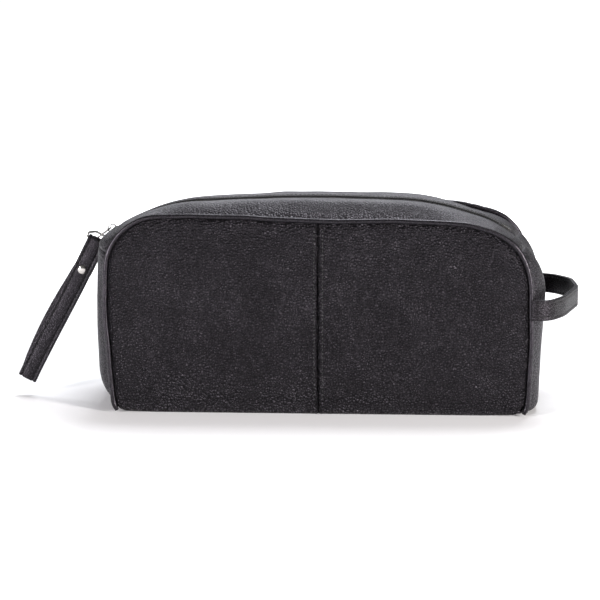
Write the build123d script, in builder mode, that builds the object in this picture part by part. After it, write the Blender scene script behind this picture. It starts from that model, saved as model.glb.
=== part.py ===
"""Soft leather makeup bag with an arched zip top, a wrist strap and a side handle.

Frame: millimetres, +Z up, the front faces -Y, +X runs to the side handle.
The origin is the middle of the footprint on the surface the bag stands on.
"""

import math
import os

from build123d import *

os.makedirs("parts", exist_ok=True)

# ---------------------------------------------------------------- driving sizes
LEATHER = 1.4  # leather with its turned and glued backing
TAPE = 0.7  # woven zip tape
LINING = 0.5
FOAM = 2.0

BAND_Y = 50.9  # half width of the gusset band between the two piped seams
EDGE_Y = 49.9  # beyond this the band keeps inside the seam line, under the bead
SEAM_Y = 51.3  # the seams of the front and the rear panel
PANEL_Y = 55.5  # half depth at the crown of the panels
PANEL_ROLL = 3.8  # radius by which a panel rolls back to its seam
BASE_ROLL = 8.0  # radius from the front and rear into the base

PIPING_Y = 51.8  # centre line of the piping bead
PIPING_R = 1.6
CORD_R = 0.8  # filler cord inside the piping
PIPING_TOP = 119.6

SLOT_Y = 5.3  # half width of the zip opening between the leather edges
COIL_Y = 2.9  # half width of the two coils together
COIL_UP = -0.35  # top of the coils, measured from the outer face of the leather
TAPE_Y = 14.0  # the tapes run under the leather to here
WEDGE_GAP = 0.65  # half gap between the coils where the slider runs
MESH_GAP = 0.1  # half gap between the meshed coils

LIP_X0, LIP_X1 = -62.0, 84.0  # the part of the mouth whose edges fold open
LIP_Y = 49.4
JOINT_GAP = 0.15  # half of the cut between neighbouring pieces

# Corners of the band seen from the front, clockwise from the lower left, each
# with the radius that rounds it. The R100 arc is where the slider runs.
BAND = [
    (-138.3, 0.0, 14.0),
    (-133.2, 102.9, 8.0),
    (-105.4, 123.8, 100.0),
    (-10.0, 128.0, 700.0),
    (66.0, 126.0, 150.0),
    (118.0, 111.0, 55.0),
    (135.4, 86.0, 30.0),
    (133.8, 0.0, 10.0),
]
RUN_X, RUN_Z, RUN_R = -70.13, 25.28, 100.0  # axis of the slider's arc

# Across the bag, seen from the right: the top sinks towards both seams.
CROWN = [
    (-58.0, -20.0, 6.0),
    (-58.0, 112.0, 6.0),
    (-37.5, 129.5, 40.0),
    (37.5, 129.5, 40.0),
    (58.0, 112.0, 6.0),
    (58.0, -20.0, 6.0),
]
# Seen from above: the sides swell between the seams.
SWELL = [
    (-121.0, -58.0, 6.0),
    (-138.9, -29.0, 40.0),
    (-138.9, 29.0, 40.0),
    (-121.0, 58.0, 6.0),
    (120.8, 58.0, 6.0),
    (135.0, 29.0, 40.0),
    (135.0, -29.0, 40.0),
    (120.8, -58.0, 6.0),
]
# The front panel's seam line, clockwise from the lower left.
PANEL = [
    (-124.2, 0.0, 6.7),
    (-129.2, 62.0, 150.0),
    (-127.6, PIPING_TOP, 32.5),
    (126.3, PIPING_TOP, 42.0),
    (128.4, 45.0, 150.0),
    (126.0, 0.0, 6.7),
]

# Wrist strap, seen from the front
STRAP_W = 12.0
STRAP_T = 1.3
STRAP_LENGTH = 100.0
STRAP_LEAN = 27.5  # degrees out from hanging straight down
STRAP_TAB = 25.0  # the short end behind the ring
RING_X, RING_Z = -141.5, 98.2  # middle of the ring's straight bar
RING_WIRE = 0.75

# Side handle
HANDLE_Z = 66.8
HANDLE_W = 12.6
HANDLE_T = 1.15
HANDLE_PIVOT_X = 136.4


# ---------------------------------------------------------------- outlines
def moved(corners, k, last=None):
    """The corners and radii of a rounded outline moved out by k. Its closing side, from the last corner to the first, moves by last instead."""
    sides = []
    for i, (x0, z0, _) in enumerate(corners):
        x1, z1, _ = corners[(i + 1) % len(corners)]
        length = math.hypot(x1 - x0, z1 - z0)
        dx, dz = (x1 - x0) / length, (z1 - z0) / length
        by = last if last is not None and i == len(corners) - 1 else k
        sides.append((x0 - by * dz, z0 + by * dx, dx, dz))
    points, radii = [], []
    for i, (_, _, radius) in enumerate(corners):
        a, b = sides[i - 1], sides[i]
        t = ((b[0] - a[0]) * b[3] - (b[1] - a[1]) * b[2]) / (a[2] * b[3] - a[3] * b[2])
        points.append((a[0] + t * a[2], a[1] + t * a[3]))
        radii.append(max(radius + k, 0.6))
    return points, radii


def rounded(corners, k, plane, reach, last=None):
    """A rounded outline moved out by k and extruded both ways from its plane."""
    points, radii = moved(corners, k, last)
    with BuildPart() as body:
        with BuildSketch(plane):
            with BuildLine():
                FilletPolyline(*points, radius=radii, close=True)
            make_face()
        extrude(amount=reach, both=True)
    return body.part


def band_form(k, half=BAND_Y):
    """The soft outer form of the gusset band, moved out by k."""
    with BuildPart() as form:
        add(rounded(BAND, k, Plane.XZ, half))
        add(rounded(CROWN, k, Plane.YZ, 160), mode=Mode.INTERSECT)
        add(rounded(SWELL, k, Plane.XY, 160), mode=Mode.INTERSECT)
    return form.part


def panel_form(k):
    """The outer form of the front, base and rear wrap, moved out by k."""
    base_section = [
        (-PANEL_Y, 0.0, BASE_ROLL),
        (-PANEL_Y, 140.0, 1.0),
        (PANEL_Y, 140.0, 1.0),
        (PANEL_Y, 0.0, BASE_ROLL),
    ]
    with BuildPart() as form:
        add(rounded(PANEL, k - 1.7, Plane.XZ, PANEL_Y + k, last=k))
        fillet(
            form.edges().filter_by(
                lambda e: abs(abs(e.center().Y) - (PANEL_Y + k)) < 0.01
            ),
            PANEL_ROLL + k,
        )
        add(rounded(base_section, k, Plane.YZ, 160), mode=Mode.INTERSECT)
    return form.part


def block(x0, x1, y0, y1, z0, z1):
    """A plain block between six planes, for cutting pieces to length."""
    with BuildPart() as b:
        with Locations(((x0 + x1) / 2, (y0 + y1) / 2, (z0 + z1) / 2)):
            Box(x1 - x0, y1 - y0, z1 - z0)
    return b.part


def wedge(*points):
    """A prism along Y over an outline given from the front."""
    with BuildPart() as w:
        with BuildSketch(Plane.XZ):
            with BuildLine():
                Polyline(*points, close=True)
            make_face()
        extrude(amount=70, both=True)
    return w.part


def beyond_seam():
    """All that lies outside the seam line close to the piping, on both sides."""
    with BuildPart() as s:
        add(block(-300, 300, -60, -EDGE_Y, -30, 300))
        add(block(-300, 300, EDGE_Y, 60, -30, 300))
        add(rounded(PANEL, -1.8, Plane.XZ, 90, last=8.0), mode=Mode.SUBTRACT)
    return s.part


def layer(k_out, k_in, half=BAND_Y):
    """One layer of the band between two depths, without the base."""
    with BuildPart() as s:
        add(band_form(k_out, half))
        add(band_form(k_in, half + 5), mode=Mode.SUBTRACT)
        add(block(-119.6, 119.6, -60, 60, -5, 20), mode=Mode.SUBTRACT)
        add(beyond_seam(), mode=Mode.SUBTRACT)
        for side in (-1, 1):
            add(tube(side, PIPING_R + 0.08), mode=Mode.SUBTRACT)
    return s.part


# The band is divided at the zip's ends and at the ends of the folding lips.
END_LEFT = 131.5  # direction of the left cross seam from the slider's axis
left_zone = wedge(
    (RUN_X, RUN_Z),
    (
        RUN_X + 160 * math.cos(math.radians(END_LEFT)),
        RUN_Z + 160 * math.sin(math.radians(END_LEFT)),
    ),
    (-190, 100),
    (-190, -10),
    (RUN_X, -10),
)
left_shoulder_zone = wedge(
    (RUN_X, RUN_Z),
    (
        RUN_X + 160 * math.cos(math.radians(END_LEFT - 0.15)),
        RUN_Z + 160 * math.sin(math.radians(END_LEFT - 0.15)),
    ),
    (-120, 170),
    (LIP_X0 - JOINT_GAP, 170),
    (LIP_X0 - JOINT_GAP, RUN_Z),
)
lip_zone = block(LIP_X0 + JOINT_GAP, LIP_X1 - JOINT_GAP, -70, 70, 60, 170)
right_shoulder_zone = wedge(
    (LIP_X1 + JOINT_GAP, 40), (LIP_X1 + JOINT_GAP, 170), (150, 170), (150, 126.2), (88, 70)
)
right_zone = wedge((88, 69.8), (150.2, 126.0), (190, 126), (190, -10), (88, -10))

FRONT, REAR = -1, 1


def between(side, y0, y1):
    """All that lies between two distances from the middle, on one side."""
    a, b = sorted((side * y0, side * y1))
    return block(-200, 200, a, b, -20, 200)


def piping_line(side):
    """The bead's centre line: up one side, over the top and down the other."""
    points = [
        (-122.6, 1.75),
        (-124.75, 5.4),
        (-129.2, 62.0),
        (-127.6, PIPING_TOP),
        (126.3, PIPING_TOP),
        (128.4, 45.0),
        (126.35, 5.4),
        (124.2, 1.75),
    ]
    with BuildLine(Plane.XZ.offset(-side * PIPING_Y)) as line:
        FilletPolyline(*points, radius=[5.0, 150.0, 32.5, 42.0, 150.0, 5.0])
    return line.line


def tube(side, radius):
    path = piping_line(side)
    start = path @ 0
    along = path % 0
    with BuildPart() as t:
        with BuildSketch(Plane(origin=start, x_dir=(0, 1, 0), z_dir=along)):
            Circle(radius)
        sweep(path=path)
    return t.part


# ---------------------------------------------------------------- front, base and rear wrap
with BuildPart() as wrap_shell:
    add(panel_form(0))
    add(panel_form(-LEATHER), mode=Mode.SUBTRACT)
    add(block(-200, 200, -SEAM_Y - 0.4, SEAM_Y + 0.4, LEATHER, 200), mode=Mode.SUBTRACT)
    add(block(-200, -119.3, -SEAM_Y - 0.4, SEAM_Y + 0.4, -5, 200), mode=Mode.SUBTRACT)
    add(block(119.3, 200, -SEAM_Y - 0.4, SEAM_Y + 0.4, -5, 200), mode=Mode.SUBTRACT)

with BuildPart() as body_panel_left:
    add(wrap_shell.part)
    add(block(-200, -0.05, -80, 80, -10, 200), mode=Mode.INTERSECT)
    for side in (-1, 1):
        add(tube(side, PIPING_R + 0.05), mode=Mode.SUBTRACT)
body_panel_left.part.label = "body_panel_left"

with BuildPart() as body_panel_right:
    add(wrap_shell.part)
    add(block(0.05, 200, -80, 80, -10, 200), mode=Mode.INTERSECT)
    for side in (-1, 1):
        add(tube(side, PIPING_R + 0.05), mode=Mode.SUBTRACT)
body_panel_right.part.label = "body_panel_right"


def slab(k, y_out, y_in, floor):
    """A flat layer behind a panel, its outline k inside the seam line."""
    with BuildPart() as s:
        add(rounded(PANEL, k, Plane.XZ, 80))
        a, b = sorted((y_out, y_in))
        add(block(-200, 200, a, b, floor, 200), mode=Mode.INTERSECT)
    return s.part


with BuildPart() as front_padding:
    add(slab(-6.0, -PANEL_Y + LEATHER + 0.05, -PANEL_Y + LEATHER + 0.05 + FOAM, 8.5))
front_padding.part.label = "front_padding"

with BuildPart() as rear_padding:
    add(slab(-6.0, PANEL_Y - LEATHER - 0.05, PANEL_Y - LEATHER - 0.05 - FOAM, 8.5))
rear_padding.part.label = "rear_padding"

with BuildPart() as base_board:
    with BuildSketch(Plane.XY.offset(LEATHER + 0.05)):
        RectangleRounded(224, 88, 9)
    extrude(amount=1.2)
base_board.part.label = "base_board"

# The lining of the wrap is one sheet folded like a cradle.
with BuildPart() as body_lining:
    with BuildSketch(Plane.YZ):
        with BuildLine():
            FilletPolyline(
                (-51.9, 130), (-51.9, 2.8), (51.9, 2.8), (51.9, 130),
                (51.4, 130), (51.4, 3.3), (-51.4, 3.3), (-51.4, 130),
                radius=[0, 7.0, 7.0, 0, 0, 6.5, 6.5, 0],
                close=True,
            )
        make_face()
    extrude(amount=160, both=True)
    add(rounded(PANEL, -6.6, Plane.XZ, 80, last=-1.0), mode=Mode.INTERSECT)
body_lining.part.label = "body_lining"


# ---------------------------------------------------------------- side gussets
def gusset(zone):
    """One side of the band, with a notch at its top for the end of the zip."""
    with BuildPart() as g:
        add(layer(0, -LEATHER))
        add(zone, mode=Mode.INTERSECT)
        add(block(-200, 200, -SLOT_Y, SLOT_Y, 93.0, 200), mode=Mode.SUBTRACT)
    return g.part


with BuildPart() as left_gusset:
    add(gusset(left_zone))
left_gusset.part.label = "left_gusset"

with BuildPart() as right_gusset:
    add(layer(0, -LEATHER))
    add(right_zone, mode=Mode.INTERSECT)
right_gusset.part.label = "right_gusset"

lining_layer = layer(-2.25, -2.25 - LINING, 50.6)

with BuildPart() as left_gusset_lining:
    add(lining_layer)
    add(block(-200, LIP_X0 - JOINT_GAP, -80, 80, -10, 200), mode=Mode.INTERSECT)
    add(block(-200, 200, -SLOT_Y - 0.3, SLOT_Y + 0.3, 90.0, 200), mode=Mode.SUBTRACT)
left_gusset_lining.part.label = "left_gusset_lining"

with BuildPart() as right_gusset_lining:
    add(lining_layer)
    add(block(LIP_X1 + JOINT_GAP, 200, -80, 80, -10, 200), mode=Mode.INTERSECT)
    add(block(0, 121, -SLOT_Y - 0.3, SLOT_Y + 0.3, 90.0, 200), mode=Mode.SUBTRACT)
right_gusset_lining.part.label = "right_gusset_lining"


# ---------------------------------------------------------------- zip strips, tapes and coils
def piece_of(shape, zone, side, y0, y1):
    """The part of a layer that lies in one zone, between two distances."""
    with BuildPart() as s:
        add(shape)
        add(zone, mode=Mode.INTERSECT)
        add(between(side, y0, y1), mode=Mode.INTERSECT)
    return s.part


leather_layer = layer(0, -LEATHER)
tape_layer = layer(-LEATHER - 0.05, -LEATHER - 0.05 - TAPE)
coil_layer = layer(COIL_UP, -LEATHER)

# The coils start just right of the slider's back and end at the bottom stop.
coil_start = wedge(
    (RUN_X, RUN_Z),
    (
        RUN_X + 160 * math.cos(math.radians(126.7)),
        RUN_Z + 160 * math.sin(math.radians(126.7)),
    ),
    (-120, 170),
    (LIP_X0 - JOINT_GAP, 170),
    (LIP_X0 - JOINT_GAP, RUN_Z),
)
coil_end = wedge((LIP_X1 + JOINT_GAP, 40), (LIP_X1 + JOINT_GAP, 170), (140, 170), (86, 62))

strips, tapes, coils, linings = {}, {}, {}, {}
for side, name in ((FRONT, "front"), (REAR, "rear")):
    strips[name, "left"] = piece_of(leather_layer, left_shoulder_zone, side, SLOT_Y, BAND_Y)
    strips[name, "mid"] = piece_of(leather_layer, lip_zone, side, SLOT_Y, LIP_Y)
    strips[name, "right"] = piece_of(leather_layer, right_shoulder_zone, side, SLOT_Y, BAND_Y)
    tapes[name, "left"] = piece_of(tape_layer, coil_start, side, WEDGE_GAP, TAPE_Y)
    tapes[name, "mid"] = piece_of(tape_layer, lip_zone, side, MESH_GAP, TAPE_Y)
    tapes[name, "right"] = piece_of(tape_layer, right_shoulder_zone, side, MESH_GAP, TAPE_Y)
    coils[name, "left"] = piece_of(coil_layer, coil_start, side, WEDGE_GAP, COIL_Y)
    coils[name, "mid"] = piece_of(coil_layer, lip_zone, side, MESH_GAP, COIL_Y)
    coils[name, "right"] = piece_of(coil_layer, coil_end, side, MESH_GAP, COIL_Y)
    linings[name] = piece_of(lining_layer, lip_zone, side, SLOT_Y + 0.3, LIP_Y - 0.4)

named = []
for name in ("front", "rear"):
    for place, label in (("left", "strip_left"), ("mid", "lip"), ("right", "strip_right")):
        with BuildPart() as strip:
            add(strips[name, place])
        strip.part.label = f"{name}_{label}"
        named.append(strip.part)
    for place in ("left", "mid", "right"):
        with BuildPart() as tape:
            add(tapes[name, place])
        tape.part.label = f"{name}_tape_{place}"
        named.append(tape.part)
        with BuildPart() as coil:
            add(coils[name, place])
        coil.part.label = f"{name}_coil_{place}"
        named.append(coil.part)
    with BuildPart() as lip_lining:
        add(linings[name])
    lip_lining.part.label = f"{name}_lip_lining"
    named.append(lip_lining.part)

# A flat stop crimped over both coils at the right end of the zip.
with BuildPart() as zip_bottom_stop:
    add(layer(COIL_UP, -LEATHER))
    add(
        wedge((86.3, 62), (140.3, 170), (150, 170), (150, 159), (87.4, 62)),
        mode=Mode.INTERSECT,
    )
    add(block(-200, 200, -3.6, 3.6, 60, 200), mode=Mode.INTERSECT)
zip_bottom_stop.part.label = "zip_bottom_stop"

# A fabric patch closes the notch under the slider.
with BuildPart() as zip_end_patch:
    add(layer(-3.7, -4.3))
    add(left_zone, mode=Mode.INTERSECT)
    add(block(-200, -120, -8, 8, 86, 200), mode=Mode.INTERSECT)
zip_end_patch.part.label = "zip_end_patch"


# ---------------------------------------------------------------- piping
def welt(side):
    """The covered bead and the flange that is sewn between panel and band."""
    y0, y1 = sorted((side * (BAND_Y + 0.05), side * (SEAM_Y + 0.35)))
    with BuildPart() as w:
        add(rounded(PANEL, -0.5, Plane.XZ, 80))
        add(rounded(PANEL, -6.0, Plane.XZ, 90, last=2.0), mode=Mode.SUBTRACT)
        add(block(-200, 200, y0, y1, 8.0, 200), mode=Mode.INTERSECT)
        add(tube(side, PIPING_R))
        add(tube(side, CORD_R + 0.02), mode=Mode.SUBTRACT)
    return w.part


with BuildPart() as front_piping:
    add(welt(FRONT))
front_piping.part.label = "front_piping"

with BuildPart() as rear_piping:
    add(welt(REAR))
rear_piping.part.label = "rear_piping"

with BuildPart() as front_piping_cord:
    add(tube(FRONT, CORD_R))
front_piping_cord.part.label = "front_piping_cord"

with BuildPart() as rear_piping_cord:
    add(tube(REAR, CORD_R))
rear_piping_cord.part.label = "rear_piping_cord"


# ---------------------------------------------------------------- slider
NOSE, BACK = 125.4, 130.5  # directions of the slider's ends from its axis


def arc_band(y0, y1, k0, k1, a0, a1):
    """A bar that follows the slider's arc: between two distances across, two heights over the leather and two directions."""
    with BuildPart() as b:
        with BuildSketch(Plane(origin=(RUN_X, 0, RUN_Z), x_dir=(1, 0, 0), z_dir=(0, -1, 0))):
            with BuildLine():
                r0, r1 = RUN_R + k0, RUN_R + k1
                u = [math.radians(a) for a in (a0, (a0 + a1) / 2, a1)]
                p = [(math.cos(a), math.sin(a)) for a in u]
                ThreePointArc(*[(r1 * c, r1 * s) for c, s in p])
                Line((r1 * p[2][0], r1 * p[2][1]), (r0 * p[2][0], r0 * p[2][1]))
                ThreePointArc(*[(r0 * c, r0 * s) for c, s in reversed(p)])
                Line((r0 * p[0][0], r0 * p[0][1]), (r1 * p[0][0], r1 * p[0][1]))
            make_face()
        extrude(amount=200, both=True)
        add(block(-300, 300, y0, y1, -200, 300), mode=Mode.INTERSECT)
    return b.part


with BuildPart() as slider_body:
    add(arc_band(-4.6, 4.6, 0.65, 1.65, NOSE, BACK))  # top plate
    add(arc_band(-4.6, 4.6, -3.35, -2.5, NOSE, BACK))  # bottom plate
    add(arc_band(-0.4, 0.4, -3.0, 1.0, NOSE + 0.3, NOSE + 3.0))  # wedge
    for y in (-4.6, 3.8):
        add(arc_band(y, y + 0.8, -1.0, 1.0, NOSE, BACK))  # side flanges
slider_body.part.label = "slider_body"

# The bail bridges the top plate along the zip and holds the puller's pin.
with BuildPart() as slider_bail:
    add(arc_band(-1.0, 1.0, 1.66, 4.3, NOSE + 0.4, NOSE + 4.4))
    add(arc_band(-2.0, 2.0, 0.0, 3.6, NOSE + 0.9, NOSE + 3.9), mode=Mode.SUBTRACT)
slider_bail.part.label = "slider_bail"

mid_pin = math.radians(NOSE + 2.4)
PIN_X = RUN_X + (RUN_R + 2.65) * math.cos(mid_pin)
PIN_Z = RUN_Z + (RUN_R + 2.65) * math.sin(mid_pin)
print("puller pin", round(PIN_X, 3), round(PIN_Z, 3))

# ---------------------------------------------------------------- puller, ring and strap
lean = math.radians(STRAP_LEAN)
DOWN = (-math.sin(lean), 0.0, -math.cos(lean))  # along the strap
BAR = (math.cos(lean), 0.0, -math.sin(lean))  # along the ring's straight bar
print("strap bar axis", [round(c, 5) for c in BAR])

# The puller is a small open frame that lies in the plane of Y and its length.
LINK_X, LINK_Z = RING_X - 3.3 * DOWN[0], RING_Z - 3.3 * DOWN[2]
to_ring = math.atan2(LINK_Z - PIN_Z, LINK_X - PIN_X)
PULL = (math.cos(to_ring), 0.0, math.sin(to_ring))
PULLER_L = math.hypot(LINK_X - PIN_X, LINK_Z - PIN_Z) + 1.1
print("ring link", round(LINK_X, 3), round(LINK_Z, 3), "puller", round(PULLER_L, 2))
puller_plane = Plane(
    origin=(PIN_X, 0, PIN_Z), x_dir=PULL, z_dir=(-PULL[2], 0, PULL[0])
)
with BuildPart() as puller_tab:
    with BuildSketch(puller_plane.offset(-0.55)):
        with Locations((PULLER_L / 2 - 0.55, 0)):
            RectangleRounded(PULLER_L, 7.0, 1.2)
        with Locations((PULLER_L / 2 - 0.55, 0)):
            RectangleRounded(PULLER_L - 2.2, 4.6, 0.8, mode=Mode.SUBTRACT)
    extrude(amount=1.1)
puller_tab.part.label = "puller_tab"

# D-ring: its bow passes through the puller's frame, its bar through the fold.
ring_plane = Plane(origin=(RING_X, 0, RING_Z), x_dir=BAR, z_dir=(0, -1, 0))
with BuildLine(ring_plane) as ring_line:
    FilletPolyline(
        (-7.1, 0.0), (-7.1, 2.5), (-3.2, 5.2), (3.2, 5.2), (7.1, 2.5), (7.1, 0.0),
        radius=[1.0, 1.2, 2.0, 2.0, 1.2, 1.0],
        close=True,
    )
with BuildPart() as strap_ring:
    with BuildSketch(Plane(origin=ring_line.line @ 0, x_dir=(0, 1, 0), z_dir=ring_line.line % 0)):
        Circle(RING_WIRE)
    sweep(path=ring_line.line)
strap_ring.part.label = "strap_ring"

# The strap is one strip: a short end behind, over the bar, down the front,
# round the lower fold and back up to the rivet. Drawn in a plane whose first
# axis runs down the strap and whose second axis points to the front.
strap_plane = Plane(
    origin=(
        RING_X - BAR[0] * STRAP_W / 2,
        0,
        RING_Z - BAR[2] * STRAP_W / 2,
    ),
    x_dir=DOWN,
    z_dir=BAR,
)
turn = 1 if strap_plane.y_dir.Y < 0 else -1  # +1 when the second axis is the front
inner = RING_WIRE + 0.15
outer = inner + STRAP_T
with BuildPart() as wrist_strap:
    with BuildSketch(strap_plane):
        # over the ring
        with BuildLine():
            l1 = Polyline((STRAP_TAB, -turn * inner), (0, -turn * inner))
            a1 = ThreePointArc((0, -turn * inner), (-inner, 0), (0, turn * inner))
            l2 = Polyline((0, turn * inner), (STRAP_LENGTH - 2.0, turn * inner))
            low = -0.55
            rad_in = (inner - (low + STRAP_T)) / 2
            a2 = ThreePointArc(
                (STRAP_LENGTH - 2.0, turn * inner),
                (STRAP_LENGTH - 2.0 + rad_in, turn * (inner - rad_in)),
                (STRAP_LENGTH - 2.0, turn * (low + STRAP_T)),
            )
            l3 = Polyline(
                (STRAP_LENGTH - 2.0, turn * (low + STRAP_T)),
                (16.0, turn * (low + STRAP_T)),
                (16.0, turn * low),
                (STRAP_LENGTH - 2.0, turn * low),
            )
            rad_out = (outer - low) / 2
            a3 = ThreePointArc(
                (STRAP_LENGTH - 2.0, turn * low),
                (STRAP_LENGTH - 2.0 + rad_out, turn * (outer + low) / 2),
                (STRAP_LENGTH - 2.0, turn * outer),
            )
            l4 = Polyline((STRAP_LENGTH - 2.0, turn * outer), (0, turn * outer))
            a4 = ThreePointArc((0, turn * outer), (-outer, 0), (0, -turn * outer))
            l5 = Polyline((0, -turn * outer), (STRAP_TAB, -turn * outer), (STRAP_TAB, -turn * inner))
        make_face()
    extrude(amount=STRAP_W)
    # hole for the rivet, 20 mm below the fold
    with BuildSketch(
        Plane(
            origin=(RING_X + DOWN[0] * 20, -10, RING_Z + DOWN[2] * 20),
            x_dir=(1, 0, 0),
            z_dir=(0, -1, 0),
        )
    ):
        Circle(1.3)
    extrude(amount=-20, mode=Mode.SUBTRACT)
wrist_strap.part.label = "wrist_strap"


def rivet_plane(y):
    """A plane across the rivet, facing the front."""
    return Plane(
        origin=(RING_X + DOWN[0] * 20, y, RING_Z + DOWN[2] * 20),
        x_dir=(1, 0, 0),
        z_dir=(0, -1, 0),
    )


with BuildPart() as rivet_cap:
    with BuildSketch(rivet_plane(-outer - 0.02)):
        Circle(2.9)
    extrude(amount=1.1)
    fillet(rivet_cap.faces().sort_by(Axis.Y)[0].edges(), 1.0)
rivet_cap.part.label = "rivet_cap"

with BuildPart() as rivet_post:
    with BuildSketch(rivet_plane(-outer)):
        Circle(1.2)
    extrude(amount=-(2 * outer + 0.02))
    with BuildSketch(rivet_plane(outer + 0.02)):
        Circle(2.7)
    extrude(amount=-0.6)
rivet_post.part.label = "rivet_post"


# ---------------------------------------------------------------- side handle
HANDLE_LINE = [
    (130.0, -52.6),
    (137.0, -54.6),
    (148.5, -35.0),
    (161.0, 4.0),
    (158.5, 33.0),
    (147.5, 52.5),
    (137.0, 57.4),
    (130.0, 54.6),
]
HANDLE_RADII = [9.0, 60.0, 40.0, 24.0, 14.0, 8.0]


def handle_side(gap0, gap1):
    """The strip between two distances outside the handle's inner line."""
    outer_pts, outer_r = open_offset(HANDLE_LINE, HANDLE_RADII, gap1)
    inner_pts, inner_r = open_offset(HANDLE_LINE, HANDLE_RADII, gap0)
    with BuildPart() as h:
        with BuildSketch(Plane.XY.offset(HANDLE_Z - HANDLE_W / 2)):
            with BuildLine():
                a = FilletPolyline(*outer_pts, radius=outer_r)
                b = FilletPolyline(*inner_pts, radius=inner_r)
                Line(a @ 0, b @ 0)
                Line(a @ 1, b @ 1)
            make_face()
        extrude(amount=HANDLE_W)
        # ends rounded about the folding line
        with BuildSketch(Plane.XZ) as ends:
            with Locations((HANDLE_PIVOT_X, HANDLE_Z)):
                Circle(HANDLE_W / 2)
            with Locations((HANDLE_PIVOT_X + 30, HANDLE_Z)):
                Rectangle(60, HANDLE_W)
        extrude(amount=80, both=True, mode=Mode.INTERSECT)
    return h.part


def open_offset(points, radii, k):
    """An open rounded line moved to its right-hand side by k."""
    sides = []
    for (x0, y0), (x1, y1) in zip(points, points[1:]):
        length = math.hypot(x1 - x0, y1 - y0)
        dx, dy = (x1 - x0) / length, (y1 - y0) / length
        sides.append((x0 + k * dy, y0 - k * dx, dx, dy))
    out = [(sides[0][0], sides[0][1])]
    for a, b in zip(sides, sides[1:]):
        t = ((b[0] - a[0]) * b[3] - (b[1] - a[1]) * b[2]) / (a[2] * b[3] - a[3] * b[2])
        out.append((a[0] + t * a[2], a[1] + t * a[3]))
    dx, dy = sides[-1][2], sides[-1][3]
    out.append((points[-1][0] + k * dy, points[-1][1] - k * dx))
    turned = []
    for a, b, r in zip(sides, sides[1:], radii):
        left = a[2] * b[3] - a[3] * b[2] > 0  # the line bends to the left
        turned.append(r + k if left else r - k)
    return out, turned


with BuildPart() as side_handle_outer:
    add(handle_side(HANDLE_T + 0.02, 2 * HANDLE_T + 0.02))
side_handle_outer.part.label = "side_handle_outer"

with BuildPart() as side_handle_inner:
    add(handle_side(0.0, HANDLE_T))
side_handle_inner.part.label = "side_handle_inner"

# ---------------------------------------------------------------- write the pieces
for part in [
    body_panel_left.part,
    body_panel_right.part,
    front_padding.part,
    rear_padding.part,
    base_board.part,
    body_lining.part,
    left_gusset.part,
    right_gusset.part,
    left_gusset_lining.part,
    right_gusset_lining.part,
    zip_bottom_stop.part,
    zip_end_patch.part,
    front_piping.part,
    rear_piping.part,
    front_piping_cord.part,
    rear_piping_cord.part,
    slider_body.part,
    slider_bail.part,
    puller_tab.part,
    strap_ring.part,
    wrist_strap.part,
    rivet_cap.part,
    rivet_post.part,
    side_handle_outer.part,
    side_handle_inner.part,
    *named,
]:
    export_step(part, f"parts/{part.label}.step")
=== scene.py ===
"""Looks of the leather makeup bag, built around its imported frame.

Helpers work in millimetres in the part's own axes; meshes are stored in metres.
"""

import math

import bmesh
import bpy
import numpy as np
from mathutils import Matrix, Vector


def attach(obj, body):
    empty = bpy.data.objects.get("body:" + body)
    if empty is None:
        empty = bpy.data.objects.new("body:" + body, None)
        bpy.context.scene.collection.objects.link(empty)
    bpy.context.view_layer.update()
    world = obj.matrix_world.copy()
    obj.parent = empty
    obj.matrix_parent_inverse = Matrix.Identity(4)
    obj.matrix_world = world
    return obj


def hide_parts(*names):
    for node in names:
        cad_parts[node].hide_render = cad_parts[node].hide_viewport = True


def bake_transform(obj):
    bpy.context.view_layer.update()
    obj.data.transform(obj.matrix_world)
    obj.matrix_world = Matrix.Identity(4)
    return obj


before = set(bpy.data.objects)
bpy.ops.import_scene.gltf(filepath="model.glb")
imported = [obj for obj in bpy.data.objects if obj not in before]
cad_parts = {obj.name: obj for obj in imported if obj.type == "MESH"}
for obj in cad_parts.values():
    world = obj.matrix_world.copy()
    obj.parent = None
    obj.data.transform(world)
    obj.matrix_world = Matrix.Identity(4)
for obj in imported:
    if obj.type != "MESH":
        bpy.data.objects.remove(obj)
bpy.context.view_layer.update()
MM = 0.001
rng = np.random.default_rng(7)

# ------------------------------------------------------------------ sizes (mm)
BAND = [
    (-138.3, 0.0, 24.0), (-133.2, 102.9, 8.0), (-105.4, 123.8, 100.0), (-10.0, 128.0, 700.0),
    (66.0, 126.0, 150.0), (118.0, 110.6, 60.0), (135.2, 83.5, 36.0), (133.8, 0.0, 6.0),
]
PANEL = [
    (-124.2, 0.0, 6.7), (-129.2, 62.0, 150.0), (-127.6, 119.6, 32.5),
    (126.3, 119.6, 42.0), (128.4, 45.0, 150.0), (126.0, 0.0, 6.7),
]
BEAD = [
    (-122.6, 1.75, 0), (-124.75, 5.4, 5), (-129.2, 62.0, 150), (-127.6, 119.6, 32.5),
    (126.3, 119.6, 42), (128.4, 45.0, 150), (126.35, 5.4, 5), (124.2, 1.75, 0),
]
BAND_Y, SEAM_Y, BEAD_Y, BEAD_R = 50.9, 51.3, 51.8, 1.6
LEATHER = 1.4
SLOT_Y = 5.3
RUN_X, RUN_Z, RUN_R = -70.13, 25.28, 100.0
NOSE, BACK = 125.4, 130.5
CX, CZ = 0.0, 55.0  # the band is drawn in polar form about this point


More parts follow.
